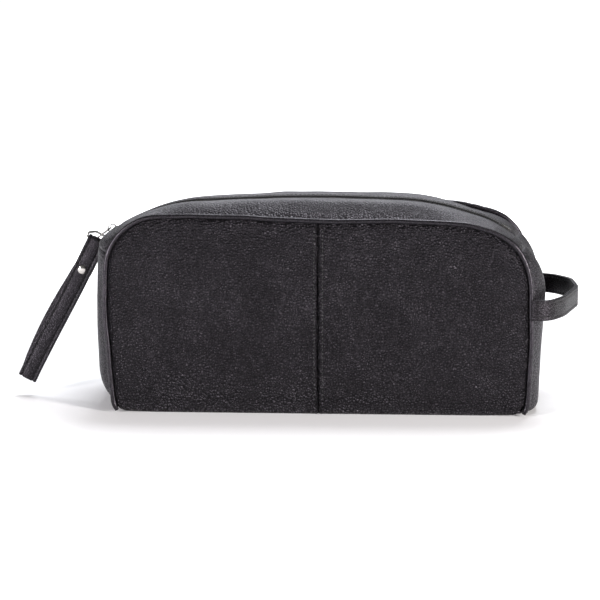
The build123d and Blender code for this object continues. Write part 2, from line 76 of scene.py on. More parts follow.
# ------------------------------------------------------------------ lines
def moved(corners, k):
    """Corners and radii of a rounded outline moved out by k."""
    sides = []
    for i, (x0, z0, _) in enumerate(corners):
        x1, z1, _ = corners[(i + 1) % len(corners)]
        n = math.hypot(x1 - x0, z1 - z0)
        dx, dz = (x1 - x0) / n, (z1 - z0) / n
        sides.append((x0 - k * dz, z0 + k * dx, dx, dz))
    out = []
    for i, (_, _, r) in enumerate(corners):
        a, b = sides[i - 1], sides[i]
        t = ((b[0] - a[0]) * b[3] - (b[1] - a[1]) * b[2]) / (a[2] * b[3] - a[3] * b[2])
        out.append((a[0] + t * a[2], a[1] + t * a[3], max(r + k, 0.6)))
    return out


def rounded_line(corners, closed=True, step=0.5):
    """Even points along a line whose corners are rounded by their radii."""
    pts, n = [], len(corners)
    for i in range(n):
        p, r = np.array(corners[i][:2], float), corners[i][2]
        if (not closed and i in (0, n - 1)) or r <= 0:
            pts.append(p)
            continue
        a, b = np.array(corners[i - 1][:2], float), np.array(corners[(i + 1) % n][:2], float)
        u, v = (a - p) / np.linalg.norm(a - p), (b - p) / np.linalg.norm(b - p)
        half = math.acos(max(-1, min(1, u @ v))) / 2
        c = p + (u + v) / np.linalg.norm(u + v) * r / math.sin(half)
        s, e = p + u * r / math.tan(half), p + v * r / math.tan(half)
        a0, a1 = math.atan2(*(s - c)[::-1]), math.atan2(*(e - c)[::-1])
        d = (a1 - a0 + math.pi) % (2 * math.pi) - math.pi
        m = max(4, int(abs(d) * r / step), int(abs(d) / 0.09))
        for k in range(m + 1):
            t = a0 + d * k / m
            pts.append(c + r * np.array([math.cos(t), math.sin(t)]))
    if closed:
        pts.append(pts[0])
    return resample(np.array(pts), step)


def resample(p, step=None, count=None):
    d = np.r_[0, np.cumsum(np.linalg.norm(np.diff(p, axis=0), axis=1))]
    keep = np.r_[True, np.diff(d) > 1e-9]
    p, d = p[keep], d[keep]
    m = count or max(2, int(round(d[-1] / step)) + 1)
    t = np.linspace(0, d[-1], m)
    return np.stack([np.interp(t, d, p[:, k]) for k in range(p.shape[1])], 1)


def polar(points):
    d = points - np.array([CX, CZ])
    th, r = np.arctan2(d[:, 1], d[:, 0]) % (2 * math.pi), np.hypot(d[:, 0], d[:, 1])
    o = np.argsort(th)
    th, r = th[o], r[o]
    th, r = np.r_[th - 2 * math.pi, th, th + 2 * math.pi], np.r_[r, r, r]
    return lambda a: np.interp(np.asarray(a) % (2 * math.pi), th, r)


def smooth_polar(points, width=0.0):
    f = polar(points)
    if not width:
        return f
    g = np.linspace(0, 2 * math.pi, 2881)[:-1]
    r = f(g)
    k = max(1, int(width / 360 * 2880))
    w = np.hanning(2 * k + 3)[1:-1]
    w /= w.sum()
    rr = np.convolve(np.r_[r[-k:], r, r[:k]], w, "valid")
    gg, rr = np.r_[g - 2 * math.pi, g, g + 2 * math.pi], np.r_[rr, rr, rr]
    return lambda a: np.interp(np.asarray(a) % (2 * math.pi), gg, rr)


r_mid = smooth_polar(rounded_line(BAND), 1.5)
r_edge = smooth_polar(rounded_line(moved(PANEL, -1.5)), 1.0)


def ang(x, z):
    """Polar direction of a point, from the right base seam over the top to the left."""
    a = math.atan2(z - CZ, x - CX)
    return a if a > -math.pi / 2 else a + 2 * math.pi


def waves(a, b, seed, scale, count=7):
    """Gentle smooth unevenness over two lengths in mm, about -1 to 1."""
    g = np.random.default_rng(seed)
    out = 0
    for _ in range(count):
        t, w = g.uniform(0, 2 * math.pi), g.uniform(0.6, 1.6) / scale
        out = out + np.sin((a * math.cos(t) + b * math.sin(t)) * w * 2 * math.pi + g.uniform(0, 7))
    return out / count * 1.6


def swell(y, th):
    """How far the band has risen from its seam towards its middle, 0 to 1."""
    start = 28.0 + 1.8 * waves(th * 95, 0 * y, 11, 55) * np.clip(np.abs(y) / 20, 0, 1)
    q = np.clip((np.abs(y) - start) / (BAND_Y - start), 0, 1)
    return 1 - q**2.0


def band_r(th, y):
    lift = swell(y, th)
    r = r_edge(th) + (r_mid(th) - r_edge(th)) * lift
    d = np.clip(BAND_Y - np.abs(y), 0, None)
    r = r + np.where(y < 0, 2.5, 0.6) * (1 - np.exp(-d / 1.5)) * np.clip((np.abs(y) - 9) / 26, 0, 1) * np.clip((th + 0.25) / 0.35, 0, 1) * np.clip((math.pi + 0.25 - th) / 0.35, 0, 1)
    edge = np.clip((BAND_Y - np.abs(y)) / 12, 0, 1) * np.clip((np.abs(y) - 6) / 10, 0, 1)
    side = np.clip((np.abs(th - math.pi / 2) - 0.95) / 0.4, 0, 1)
    wob = 0.28 * waves(th * 90, y, 3, 26) * edge
    wob = wob + 0.75 * side * edge * waves(th * 60, y * 1.0, 5, 60)
    return r + wob


def band(th, y, k=0.0):
    """Points on the band, k above its outer face. Arrays of equal shape."""
    th, y = np.broadcast_arrays(np.asarray(th, float), np.asarray(y, float))

    def at(t, v):
        r = band_r(t, v)
        return np.stack([CX + r * np.cos(t), v, CZ + r * np.sin(t)], -1)

    p = at(th, y)
    if np.isscalar(k) and k == 0:
        return p
    e = 0.004
    du = at(th + e, y) - at(th - e, y)
    dv = at(th, y + 0.3) - at(th, y - 0.3)
    n = np.cross(dv, du)
    n /= np.linalg.norm(n, axis=-1, keepdims=True)
    out = p - np.array([CX, 0, CZ])
    n *= np.sign((n * out).sum(-1, keepdims=True))
    return p + n * np.asarray(k)[..., None] if not np.isscalar(k) else p + n * k


# how far the seams sag below a straight top edge, as (x, rise) in mm, front and rear
FRONT_SAG = [(-130, 0), (-105, 0.8), (-75, 1.2), (-42, 0.6), (-19, -0.6), (10, -1.5), (47, -1.0), (66, -1.6), (81, -2.3), (98, -3.2), (110, -2.2), (119, -0.5), (126, 0)]
REAR_SAG = [(-130, 0), (-120, -2.4), (-110, -4.2), (-98, -4.6), (-88, -4.4), (-70, -3.0), (-50, -2.3), (-20, -1.9), (10, -1.8), (35, -1.0), (60, -0.6), (72, -1.0), (84, -2.0), (93, -3.2), (101, -3.0), (109, -1.0), (115, 0.3), (130, 0)]


def settle(v):
    """The worn lie of the bag: its top edges sag unevenly and its far top corner leans out."""
    v = np.array(v, float)
    if len(v) == 0:
        return v
    x, y, z = v[:, 0].copy(), v[:, 1].copy(), v[:, 2].copy()

    def step(q, a, b):
        t = np.clip((q - a) / (b - a), 0, 1)
        return t * t * (3 - 2 * t)

    w = step(np.abs(y), 8, 50) * step(z, 50, 116)
    front = np.interp(x, *zip(*FRONT_SAG))
    rear = np.interp(x, *zip(*REAR_SAG))
    v[:, 2] = z + w * np.where(y < 0, front, rear)
    v[:, 0] = x + 2.2 * step(x, 104, 124) * np.exp(-(((z - 98) / 15) ** 2)) * step(y, 18, 50)
    return v


# ------------------------------------------------------------------ meshes
def obj_from(name, verts, faces, mat, smooth=True, merge=0.0):
    me = bpy.data.meshes.new(name)
    verts = settle(verts)
    me.from_pydata((np.asarray(verts) * MM).tolist(), [], faces)
    me.validate()
    if merge:
        bm = bmesh.new()
        bm.from_mesh(me)
        bmesh.ops.remove_doubles(bm, verts=bm.verts, dist=merge * MM)
        bmesh.ops.dissolve_degenerate(bm, edges=bm.edges, dist=1e-7)
        bmesh.ops.recalc_face_normals(bm, faces=bm.faces)
        bm.to_mesh(me)
        bm.free()
    if smooth:
        me.polygons.foreach_set("use_smooth", [True] * len(me.polygons))
    me.update()
    o = bpy.data.objects.new(name, me)
    bpy.context.scene.collection.objects.link(o)
    if mat is not None:
        me.materials.append(mat)
    return o


def grid_faces(nu, nv, close_v=False, base=0, flip=False):
    f = []
    for i in range(nu - 1):
        for j in range(nv if close_v else nv - 1):
            a, b = base + i * nv + j, base + i * nv + (j + 1) % nv
            c, d = base + (i + 1) * nv + (j + 1) % nv, base + (i + 1) * nv + j
            f.append((a, d, c, b) if flip else (a, b, c, d))
    return f


def fix_normals(o):
    bm = bmesh.new()
    bm.from_mesh(o.data)
    bmesh.ops.recalc_face_normals(bm, faces=bm.faces)
    bm.to_mesh(o.data)
    bm.free()
    o.data.update()


def apply_mods(o):
    dg = bpy.context.evaluated_depsgraph_get()
    me = bpy.data.meshes.new_from_object(o.evaluated_get(dg))
    o.modifiers.clear()
    o.data = me
    return o


def thicken(o, t, outside=-1.0):
    m = o.modifiers.new("thickness", "SOLIDIFY")
    m.thickness = t * MM
    m.offset = outside
    m.use_quality_normals = True
    return o


def loop_shell(name, rings, mat, caps=True, closed=False):
    """A tube whose rings are closed loops of points, with flat ends, or closed on itself."""
    rings = np.asarray(rings)
    n, m = rings.shape[:2]
    verts = rings.reshape(-1, 3)
    faces = grid_faces(n, m, close_v=True)
    if closed:
        for j in range(m):
            faces.append(((n - 1) * m + j, (n - 1) * m + (j + 1) % m, (j + 1) % m, j))
    elif caps:
        faces.append(tuple(range(m)))
        faces.append(tuple((n - 1) * m + j for j in reversed(range(m))))
    o = obj_from(name, verts, faces, mat)
    fix_normals(o)
    return o


def sweep_rings(path, wide, section, closed=False, shift=None):
    """Rings of a section (across, up) along a flat path; wide is the constant direction across."""
    path, wide = np.asarray(path, float), np.asarray(wide, float)
    wide = wide / np.linalg.norm(wide)
    if closed:
        t = np.roll(path, -1, 0) - np.roll(path, 1, 0)
    else:
        t = np.gradient(path, axis=0)
    t /= np.linalg.norm(t, axis=1, keepdims=True)
    up = np.cross(wide, t)
    up /= np.linalg.norm(up, axis=1, keepdims=True)
    s = np.asarray(section, float)
    if s.ndim == 2:
        s = np.repeat(s[None], len(path), 0)
    rings = path[:, None] + s[:, :, :1] * wide + s[:, :, 1:2] * up[:, None]
    if shift is not None:
        rings = rings + shift[:, None]
    return rings


def circle(r, n=12, squash=1.0):
    a = np.linspace(0, 2 * math.pi, n, endpoint=False)
    return np.stack([r * np.cos(a), r * squash * np.sin(a)], 1)


def join(name, objs):
    bm = bmesh.new()
    mats = []
    for o in objs:
        me = o.data
        off = len(mats)
        mats += list(me.materials)
        before = len(bm.faces)
        bm.from_mesh(me)
        bm.faces.ensure_lookup_table()
        for f in bm.faces[before:]:
            f.material_index += off
    me = bpy.data.meshes.new(name)
    bm.to_mesh(me)
    bm.free()
    unique = []
    remap = []
    for m in mats:
        if m not in unique:
            unique.append(m)
        remap.append(unique.index(m))
    for m in unique:
        me.materials.append(m)
    idx = np.zeros(len(me.polygons), np.int32)
    me.polygons.foreach_get("material_index", idx)
    me.polygons.foreach_set("material_index", [remap[i] for i in idx])
    out = bpy.data.objects.new(name, me)
    bpy.context.scene.collection.objects.link(out)
    for o in objs:
        bpy.data.objects.remove(o)
    me.update()
    return out


def capsules(name, items, mat, radius=0.22, ring=6):
    """Stitches: each item is (start, end, up), sunk a little so that only its back stands out."""
    verts, faces = [], []
    prof = [(0.0, 0.05), (0.06, 0.55), (0.18, 0.92), (0.5, 1.0), (0.82, 0.92), (0.94, 0.55), (1.0, 0.05)]
    arch = [-0.9, -0.45, 0.0, 0.25, 0.0, -0.45, -0.9]
    for a, b, up in items:
        a, b, up = np.asarray(a, float), np.asarray(b, float), np.asarray(up, float)
        t = (b - a) / np.linalg.norm(b - a)
        up = up - t * (up @ t)
        up /= np.linalg.norm(up)
        side = np.cross(t, up)
        base = len(verts)
        for (f, w), h in zip(prof, arch):
            c = a + (b - a) * f + up * radius * h
            for k in range(ring):
                q = 2 * math.pi * k / ring
                verts.append(c + radius * w * (math.cos(q) * side + math.sin(q) * up * 0.8))
        faces += grid_faces(len(prof), ring, close_v=True, base=base)
        faces.append(tuple(base + k for k in range(ring)))
        faces.append(tuple(base + (len(prof) - 1) * ring + k for k in reversed(range(ring))))
    o = obj_from(name, verts, faces, mat)
    fix_normals(o)
    return o


def revolve(name, profile, origin, axis, mat, n=40):
    """A turned piece: profile is (radius, height along axis)."""
    axis = np.asarray(axis, float) / np.linalg.norm(axis)
    u = np.cross(axis, [1, 0, 0.2])
    u /= np.linalg.norm(u)
    v = np.cross(axis, u)
    verts = []
    for r, h in profile:
        for k in range(n):
            a = 2 * math.pi * k / n
            verts.append(np.asarray(origin) + axis * h + max(r, 0.001) * (math.cos(a) * u + math.sin(a) * v))
    return obj_from(name, verts, grid_faces(len(profile), n, close_v=True), mat, merge=0.004)




# ------------------------------------------------------------------ materials
class Mat:
    """A node material being wired up."""

    def __init__(self, name, **sockets):
        self.m = bpy.data.materials.new(name)
        self.m.use_nodes = True
        self.t = self.m.node_tree
        self.b = self.t.nodes["Principled BSDF"]
        for k, v in sockets.items():
            self.b.inputs[k.replace("_", " ")].default_value = v
        self.co = self.t.nodes.new("ShaderNodeTexCoord").outputs["Object"]

    def new(self, kind, **props):
        n = self.t.nodes.new(kind)
        for k, v in props.items():
            setattr(n, k, v)
        return n

    def put(self, node, key, value):
        s = node.inputs[key]
        if isinstance(value, bpy.types.NodeSocket):
            self.t.links.new(value, s)
        else:
            s.default_value = value

    def math(self, op, a, b=0.5, c=0.0, clamp=False):
        n = self.new("ShaderNodeMath", operation=op, use_clamp=clamp)
        self.put(n, 0, a)
        self.put(n, 1, b)
        if op in ("MULTIPLY_ADD", "SMOOTH_MIN", "SMOOTH_MAX"):
            self.put(n, 2, c)
        return n.outputs[0]

    def remap(self, v, a, b, c=0.0, d=1.0, smooth=True):
        n = self.new("ShaderNodeMapRange", interpolation_type="SMOOTHSTEP" if smooth else "LINEAR")
        for k, x in zip(("Value", "From Min", "From Max", "To Min", "To Max"), (v, a, b, c, d)):
            self.put(n, k, x)
        return n.outputs["Result"]

    def noise(self, size, detail=3.0, rough=0.55, co=None, distort=0.0):
        n = self.new("ShaderNodeTexNoise")
        self.put(n, "Vector", co or self.co)
        self.put(n, "Scale", 1000.0 / size)
        self.put(n, "Detail", detail)
        self.put(n, "Roughness", rough)
        self.put(n, "Distortion", distort)
        return n.outputs["Fac"], n.outputs["Color"]

    def scaled(self, v):
        n = self.new("ShaderNodeVectorMath", operation="MULTIPLY")
        self.put(n, 0, self.co)
        self.put(n, 1, v)
        return n.outputs[0]

    def voronoi(self, size, feature, co=None, smooth=0.3):
        n = self.new("ShaderNodeTexVoronoi", feature=feature)
        self.put(n, "Vector", co or self.co)
        self.put(n, "Scale", 1000.0 / size)
        if feature == "SMOOTH_F1":
            self.put(n, "Smoothness", smooth)
        return n.outputs["Distance"]

    def warped(self, size, amount):
        """Object coordinates pushed about by noise, amount in mm."""
        _, col = self.noise(size, 2.0)
        s = self.new("ShaderNodeVectorMath", operation="SUBTRACT")
        self.put(s, 0, col)
        self.put(s, 1, (0.5, 0.5, 0.5))
        m = self.new("ShaderNodeVectorMath", operation="MULTIPLY_ADD")
        self.put(m, 0, s.outputs[0])
        self.put(m, 1, (amount * MM * 2,) * 3)
        self.put(m, 2, self.co)
        return m.outputs[0]

    def colour(self, fac, stops):
        n = self.new("ShaderNodeValToRGB")
        e = n.color_ramp.elements
        while len(e) < len(stops):
            e.new(0.5)
        for el, (p, c) in zip(e, stops):
            el.position, el.color = p, (*c, 1)
        self.put(n, "Fac", fac)
        return n.outputs["Color"]

    def bump(self, height, distance, strength=1.0, normal=None):
        n = self.new("ShaderNodeBump")
        self.put(n, "Height", height)
        self.put(n, "Distance", distance * MM)
        self.put(n, "Strength", strength)
        if normal is not None:
            self.put(n, "Normal", normal)
        return n.outputs["Normal"]

    def end(self, base=None, rough=None, normal=None):
        if base is not None:
            self.put(self.b, "Base Color", base)
        if rough is not None:
            self.put(self.b, "Roughness", rough)
        if normal is not None:
            self.put(self.b, "Normal", normal)
        return self.m


def rgb(v, tint=(1.0, 1.0, 1.0)):
    return tuple(v * t for t in tint)


def leather(name, grain, depth, tone, tint, rough, spread=0.1, fine=0.35, spec=0.5, sheen=0.0):
    """Pebbled leather: rounded grains between creases, uneven in size, with pores on top."""
    a = Mat(name, Specular_IOR_Level=spec, Sheen_Weight=sheen, Sheen_Roughness=0.45, Specular_Tint=(1.0, 0.92, 1.06, 1))
    co = a.warped(grain * 2.4, grain * 0.30)
    edge = a.voronoi(grain, "DISTANCE_TO_EDGE", co)
    cell = a.voronoi(grain, "SMOOTH_F1", co, 0.25)
    small = a.voronoi(grain * 0.47, "DISTANCE_TO_EDGE", co)
    plateau = a.remap(edge, 0.0, 0.42)
    dome = a.remap(cell, 0.0, 0.8, 1.0, 0.0)
    pebble = a.math("MULTIPLY_ADD", plateau, 0.45, a.math("MULTIPLY", dome, 0.75))
    minor = a.remap(small, 0.0, 0.16)
    height = a.math("MULTIPLY_ADD", minor, fine * 0.35, pebble)
    pore, _ = a.noise(grain * 0.22, 3.0, 0.6)
    height = a.math("MULTIPLY_ADD", pore, 0.10, height)
    patch, _ = a.noise(28.0, 3.0)
    press = a.remap(patch, 0.3, 0.7, 0.7, 1.15)
    height = a.math("MULTIPLY", height, press)
    cloud, _ = a.noise(60.0, 2.0)
    shade = a.math("MULTIPLY_ADD", cloud, 0.3, a.math("MULTIPLY", pebble, 0.6))
    base = a.colour(shade, [
        (0.05, rgb(tone * 0.35, tint)), (0.5, rgb(tone * 0.95, tint)), (1.0, rgb(tone * 1.4, tint)),
    ])
    r = a.math("MULTIPLY_ADD", pebble, -spread, a.math("MULTIPLY_ADD", patch, 0.10, rough + spread * 0.6))
    m = a.end(base, r, a.bump(height, depth, 1.0))
    # creases hold no gloss
    a.put(a.b, "Specular IOR Level", a.math("MULTIPLY", a.remap(edge, 0.02, 0.26, 0.30, 1.15), spec))
    return m


def metal(name, colour, rough):
    a = Mat(name, Metallic=1.0)
    n, _ = a.noise(0.9, 5.0, 0.65)
    m, _ = a.noise(6.0, 2.0)
    s = a.scaled((1.0, 6.0, 1.0))
    hair, _ = a.noise(0.35, 2.0, co=s)
    base = a.colour(m, [(0.2, rgb(0.86, colour)), (0.8, rgb(1.0, colour))])
    r = a.math("MULTIPLY_ADD", n, 0.14, rough - 0.05)
    return a.end(base, r, a.bump(hair, 0.006, 0.6))


def woven(name, pitch, tone, tint, rough, depth=0.08, diagonal=False, contrast=0.5, sheen=0.2):
    """Plain weave: warp and weft bulge over each other in turn."""
    a = Mat(name, Sheen_Weight=sheen, Sheen_Roughness=0.4, Specular_IOR_Level=0.35)
    co = a.warped(9.0, 0.12)
    sep = a.new("ShaderNodeSeparateXYZ")
    a.put(sep, 0, co)
    k = 2 * math.pi / (pitch * MM)
    u = sep.outputs["X"]
    v = a.math("ADD", sep.outputs["Y"], sep.outputs["Z"])
    if diagonal:
        u, v = a.math("ADD", u, v), a.math("SUBTRACT", u, v)
    su = a.math("SINE", a.math("MULTIPLY", u, k))
    sv = a.math("SINE", a.math("MULTIPLY", v, k))
    wv = a.math("MULTIPLY", su, sv)
    ab = a.math("ADD", a.math("ABSOLUTE", su), a.math("ABSOLUTE", sv))
    h = a.math("MULTIPLY_ADD", wv, 0.35, a.math("MULTIPLY", ab, 0.4))
    fuzz, _ = a.noise(0.3, 4.0, 0.7)
    h = a.math("MULTIPLY_ADD", fuzz, 0.25, h)
    cloud, _ = a.noise(40.0, 2.0)
    shade = a.math("MULTIPLY_ADD", h, contrast, a.math("MULTIPLY", cloud, 0.3))
    base = a.colour(shade, [
        (0.0, rgb(tone * 0.5, tint)), (0.5, rgb(tone, tint)), (1.0, rgb(tone * 1.5, tint)),
    ])
    r = a.math("MULTIPLY_ADD", fuzz, 0.15, rough - 0.07)
    return a.end(base, r, a.bump(h, depth, 0.9))


def plain(name, tone, tint, rough, grain, depth, spec=0.5, metallic=0.0, pores=False):
    """A moulded or rough stuff with fine unevenness in its colour, gloss and relief."""
    a = Mat(name, Specular_IOR_Level=spec, Metallic=metallic)
    n, _ = a.noise(grain, 5.0, 0.62)
    c, _ = a.noise(grain * 14, 2.0)
    h = n
    if pores:
        p = a.voronoi(grain * 1.4, "F1")
        h = a.math("MULTIPLY_ADD", n, 0.4, a.remap(p, 0.1, 0.5))
    shade = a.math("MULTIPLY_ADD", n, 0.5, a.math("MULTIPLY", c, 0.5))
    base = a.colour(shade, [(0.2, rgb(tone * 0.72, tint)), (0.8, rgb(tone * 1.2, tint))])
    r = a.math("MULTIPLY_ADD", n, 0.16, rough - 0.08)
    return a.end(base, r, a.bump(h, depth, 0.8))


COOL = (1.0, 0.95, 1.08)
M_PANEL = leather("pebbled_leather", 1.6, 1.0, 0.0045, COOL, 0.29, 0.08, 0.15, spec=0.36)
M_BAND = leather("pebbled_band_leather", 1.5, 0.50, 0.0075, COOL, 0.34, 0.1, 0.2, spec=0.50)
M_STRAP = leather("strap_leather", 1.1, 0.12, 0.0060, (1.02, 0.97, 1.03), 0.38, 0.08, 0.3, spec=0.36)
M_HANDLE = leather("handle_leather", 1.1, 0.12, 0.0060, (1.04, 0.97, 1.0), 0.40, 0.08, 0.3, spec=0.36)
M_PIPING = leather("piping_leather", 0.9, 0.05, 0.0050, COOL, 0.26, 0.06, 0.3, spec=0.50)
M_EDGE = plain("cut_edge", 0.011, (1, 1, 1.03), 0.5, 0.5, 0.05)
M_THREAD = plain("thread", 0.010, (1, 0.98, 1.04), 0.45, 0.14, 0.05)
M_TAPE = woven("zip_tape", 0.55, 0.008, (1, 0.98, 1.03), 0.8, 0.06, sheen=0.0)
M_COIL = plain("zip_coil", 0.010, (1, 0.97, 1.0), 0.45, 0.3, 0.008, spec=0.3)
M_TEETH = plain("zip_teeth_heads", 0.075, (1, 0.97, 0.98), 0.4, 0.3, 0.008, spec=0.5)
M_LINING = woven("lining_cloth", 0.5, 0.03, (1, 1, 1.05), 0.6, 0.05, sheen=0.1)
M_FOAM = plain("foam_sheet", 0.55, (1.0, 1.0, 0.96), 0.9, 0.8, 0.25, pores=True)
M_BOARD = plain("stiffener_board", 0.08, (1, 1, 1), 0.7, 0.6, 0.05)
M_FILLER = plain("filler_cord", 0.7, (1, 1, 0.96), 0.5, 0.6, 0.02)
M_NICKEL = metal("bright_nickel", (0.24, 0.235, 0.225), 0.20)
M_RIVET = metal("rivet_nickel", (0.50, 0.48, 0.46), 0.16)

B_LEATHER, B_STRAP, B_HANDLE, B_PIPING = "pebbled_leather", "smooth_strap_leather", "handle_leather", "piping_leather"


def place(o, body, slot, *nodes):
    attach(o, body)
    if nodes:
        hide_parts(*nodes)
    return o


def ramp(v, a, b):
    t = np.clip((v - a) / (b - a), 0, 1)
    return t * t * (3 - 2 * t)


def bend_lip(o, lip, slot, *nodes):
    """Bakes the piece's placement into its mesh and hides the CAD parts it stands in for."""
    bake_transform(o)
    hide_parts(*nodes)
    return o


# ------------------------------------------------------------------ front, base and rear wrap
LOW = 8.0  # the roll into the base starts at this height


def wrap_outline(sign):
    """One half of the seam line 1.7 inside the bead, from the low end up to the top middle."""
    o = rounded_line(moved(PANEL, -1.5), step=0.25)
    o = o[:-1]
    o = o[(o[:, 0] * sign >= 0) & (o[:, 1] >= LOW)]
    side = np.argmin(np.abs(o[:, 1] - LOW) + (np.abs(o[:, 0]) < 60) * 500)
    # order from the low side point to the top middle
    a = np.arctan2(o[:, 1] - CZ, o[:, 0] * sign)
    o = o[np.argsort(a)]
    low = np.array([[o[0, 0], LOW]])
    top = np.array([[0.0, np.interp(0.0, *(lambda q: (q[:, 0] * 1.0, q[:, 1]))(o[np.argsort(o[:, 0])][o[np.argsort(o[:, 0])][:, 1] > 100]))]])
    return resample(np.vstack([low, o, top]), 0.25)


def near_list(total, fine0, coarse, fine1):
    """Distances from 0 to total: small steps at both ends, long ones between."""
    a, b = [0.0], [0.0]
    s = fine0
    while a[-1] < 14:
        a.append(a[-1] + s)
        s = min(coarse, s * 1.22)
    s = fine1
    while b[-1] < 18:
        b.append(b[-1] + s)
        s = min(coarse, s * 1.2)
    mid0, mid1 = a[-1], total - b[-1]
    n = max(2, int((mid1 - mid0) / coarse))
    m = np.linspace(mid0, mid1, n + 1)[1:-1]
    return np.r_[a, m, total - np.array(b[::-1])]


def edge_drop(d):
    """How far the padded panel has sunk towards its seam at a distance d from it."""
    t1, t2 = np.clip(d / 3.4, 0, 1), np.clip(d / 27.0, 0, 1)
    return 1.8 * (1 - t1) ** 2 + 3.0 * (1 - t2) ** 2.2


def low_drop(z, d):
    """The panel turns under towards the base over its lowest part."""
    return 4.2 * np.clip(1 - (z - LOW) / 25.0, 0, 1) ** 2 * np.clip(d / 14.0, 0, 1)


def seam_drop(x, sign):
    """The two halves turn in at the sewn centre seam; the turned edges show as low ridges."""
    ax = np.abs(x)
    row = 2.2 if sign < 0 else 2.9
    ridge = 0.62 * np.exp(-(((ax - row * 0.62) / 1.15) ** 2))
    groove = 0.34 * np.exp(-(((ax - row) / 0.38) ** 2))
    return 1.5 * np.exp(-((ax / 0.62) ** 1.25)) - ridge + groove


DOME_Y = SEAM_Y + 4.8


def panel_y(x, z, d, sign, seed):
    """Distance of the panel's outer face from the middle plane."""
    soft = 0.22 * waves(x, z, seed, 45) * np.clip(d / 22, 0, 1)
    return DOME_Y - edge_drop(d) - low_drop(z, d) + soft - seam_drop(x, sign)


def wrap_half(name, sign, mat):
    side = wrap_outline(sign)
    # columns from the centre seam to the side, and the same number down from the top middle
    total = abs(side[0, 0])
    xs = near_list(total, 0.16, 2.6, 0.35)
    n = len(xs)
    rev = side[::-1]
    run = np.r_[0, np.cumsum(np.linalg.norm(np.diff(rev, axis=0), axis=1))]

    def on_top(s):
        return np.stack([np.interp(s, run, rev[:, 0]), np.interp(s, run, rev[:, 1])], 1)

    top_len = total + 16.0
    s_top = xs.copy()
    far = xs > 60
    s_top[far] = 60 + (xs[far] - 60) * (top_len - 60) / (total - 60)
    top = on_top(s_top)
    m_side = 34
    s_side = np.linspace(top_len, run[-1], m_side + 2)[1:-1]
    sides = on_top(s_side)[::-1]
    bottom = np.stack([sign * xs, np.full(n, LOW)], 1)
    ring = np.vstack([bottom, sides, top[::-1]])
    sx = np.where(xs < 60, xs, 60 + (xs - 60) * 22 / (total - 60)) * sign
    spine = np.vstack([
        np.stack([sx, np.full(n, 60.0)], 1),
        np.tile([sx[-1], 60.0], (m_side, 1)),
        np.stack([sx, np.full(n, 60.0)], 1)[::-1],
    ])
    length = np.linalg.norm(spine - ring, axis=1)
    lv = [0, 0.25, 0.55, 0.9, 1.3, 1.8, 2.4, 3.1, 4.0, 5.2, 6.6, 8.2, 10.2, 12.6, 15.5, 19, 23, 28, 33, 38, 44, 50]
    levels = np.array(lv) / 50.0
    P = ring[:, None] + (spine - ring)[:, None] * levels[None, :, None] ** 1.0
    flat = P.reshape(-1, 2)
    # distance to the sewn outline, which runs on straight below the roll
    seam = side[::2]
    seam = np.vstack([[side[0, 0], -30.0], seam])
    d = np.empty(len(flat))
    for i in range(0, len(flat), 1500):
        q = flat[i : i + 1500, None]
        a, b = seam[:-1][None], seam[1:][None]
        ab = b - a
        t = np.clip(((q - a) * ab).sum(-1) / (ab**2).sum(-1), 0, 1)
        d[i : i + 1500] = np.linalg.norm(q - a - ab * t[..., None], axis=-1).min(1)
    # the roll and the base, as more rows under the bottom run
    phi = np.linspace(0, math.pi / 2, 13)[1:]
    half_base = DOME_Y - LOW
    rows = []
    for f in phi:
        e = math.sin(f) ** 1.5
        scale = (total - (total - 119.6) * e) / total
        rows.append(("roll", f, scale, e))
    for y in np.linspace(1.0, 0.0, 12)[1:]:
        rows.append(("base", y, 119.6 / total, 1.0))
    verts, faces = [], []
    for front in (-1, 1):
        y = panel_y(flat[:, 0], flat[:, 1], d, sign, 21 + (front > 0) * 5 + (sign > 0) * 2)
        base = len(verts)
        verts += np.stack([flat[:, 0], front * y, flat[:, 1]], 1).tolist()
        faces += grid_faces(P.shape[0], P.shape[1], base=base, flip=(front * sign > 0))
        strip = len(verts)
        first = bottom
        # the row at the start of the roll repeats the bottom run and is merged with it
        idx = np.arange(n) * P.shape[1]
        verts += [verts[base + i] for i in idx]
        for kind, f, scale, e in rows:
            x = sign * xs * scale
            dd = (total * scale) - np.abs(x)
            drop = edge_drop(dd) * (1 - 0.72 * e) + seam_drop(x, sign) * (1 - 0.55 * e)
            soft = 0.22 * waves(sign * xs, np.full(n, LOW), 21 + (front > 0) * 5 + (sign > 0) * 2, 45) * np.clip(dd / 22, 0, 1) * (1 - e)
            if kind == "roll":
                rad = LOW - drop + soft
                yy = half_base + (rad - low_drop(LOW, dd)) * math.cos(f)
                zz = LOW - rad * math.sin(f)
            else:
                yy = np.full(n, half_base * f)
                zz = np.maximum(drop, 0.02)
            verts += np.stack([x, front * yy, zz], 1).tolist()
        faces += grid_faces(len(rows) + 1, n, base=strip, flip=(front * sign < 0))
    o = obj_from(name, verts, faces, mat, merge=0.02)
    return thicken(o, LEATHER)


def outward(o, probe=(0, 0, 55)):
    """Turns the faces to look away from a point inside."""
    me = o.data
    c = Vector(probe) * MM
    s = sum((p.center - c).dot(p.normal) * p.area for p in me.polygons)
    if s < 0:
        me.flip_normals()
        me.update()
    return o


left_wrap = outward(wrap_half("wrap_leather_left", -1, M_PANEL))
right_wrap = outward(wrap_half("wrap_leather_right", 1, M_PANEL))
place(left_wrap, "bag", B_LEATHER, "body_panel_left")
place(right_wrap, "bag", B_LEATHER, "body_panel_right")


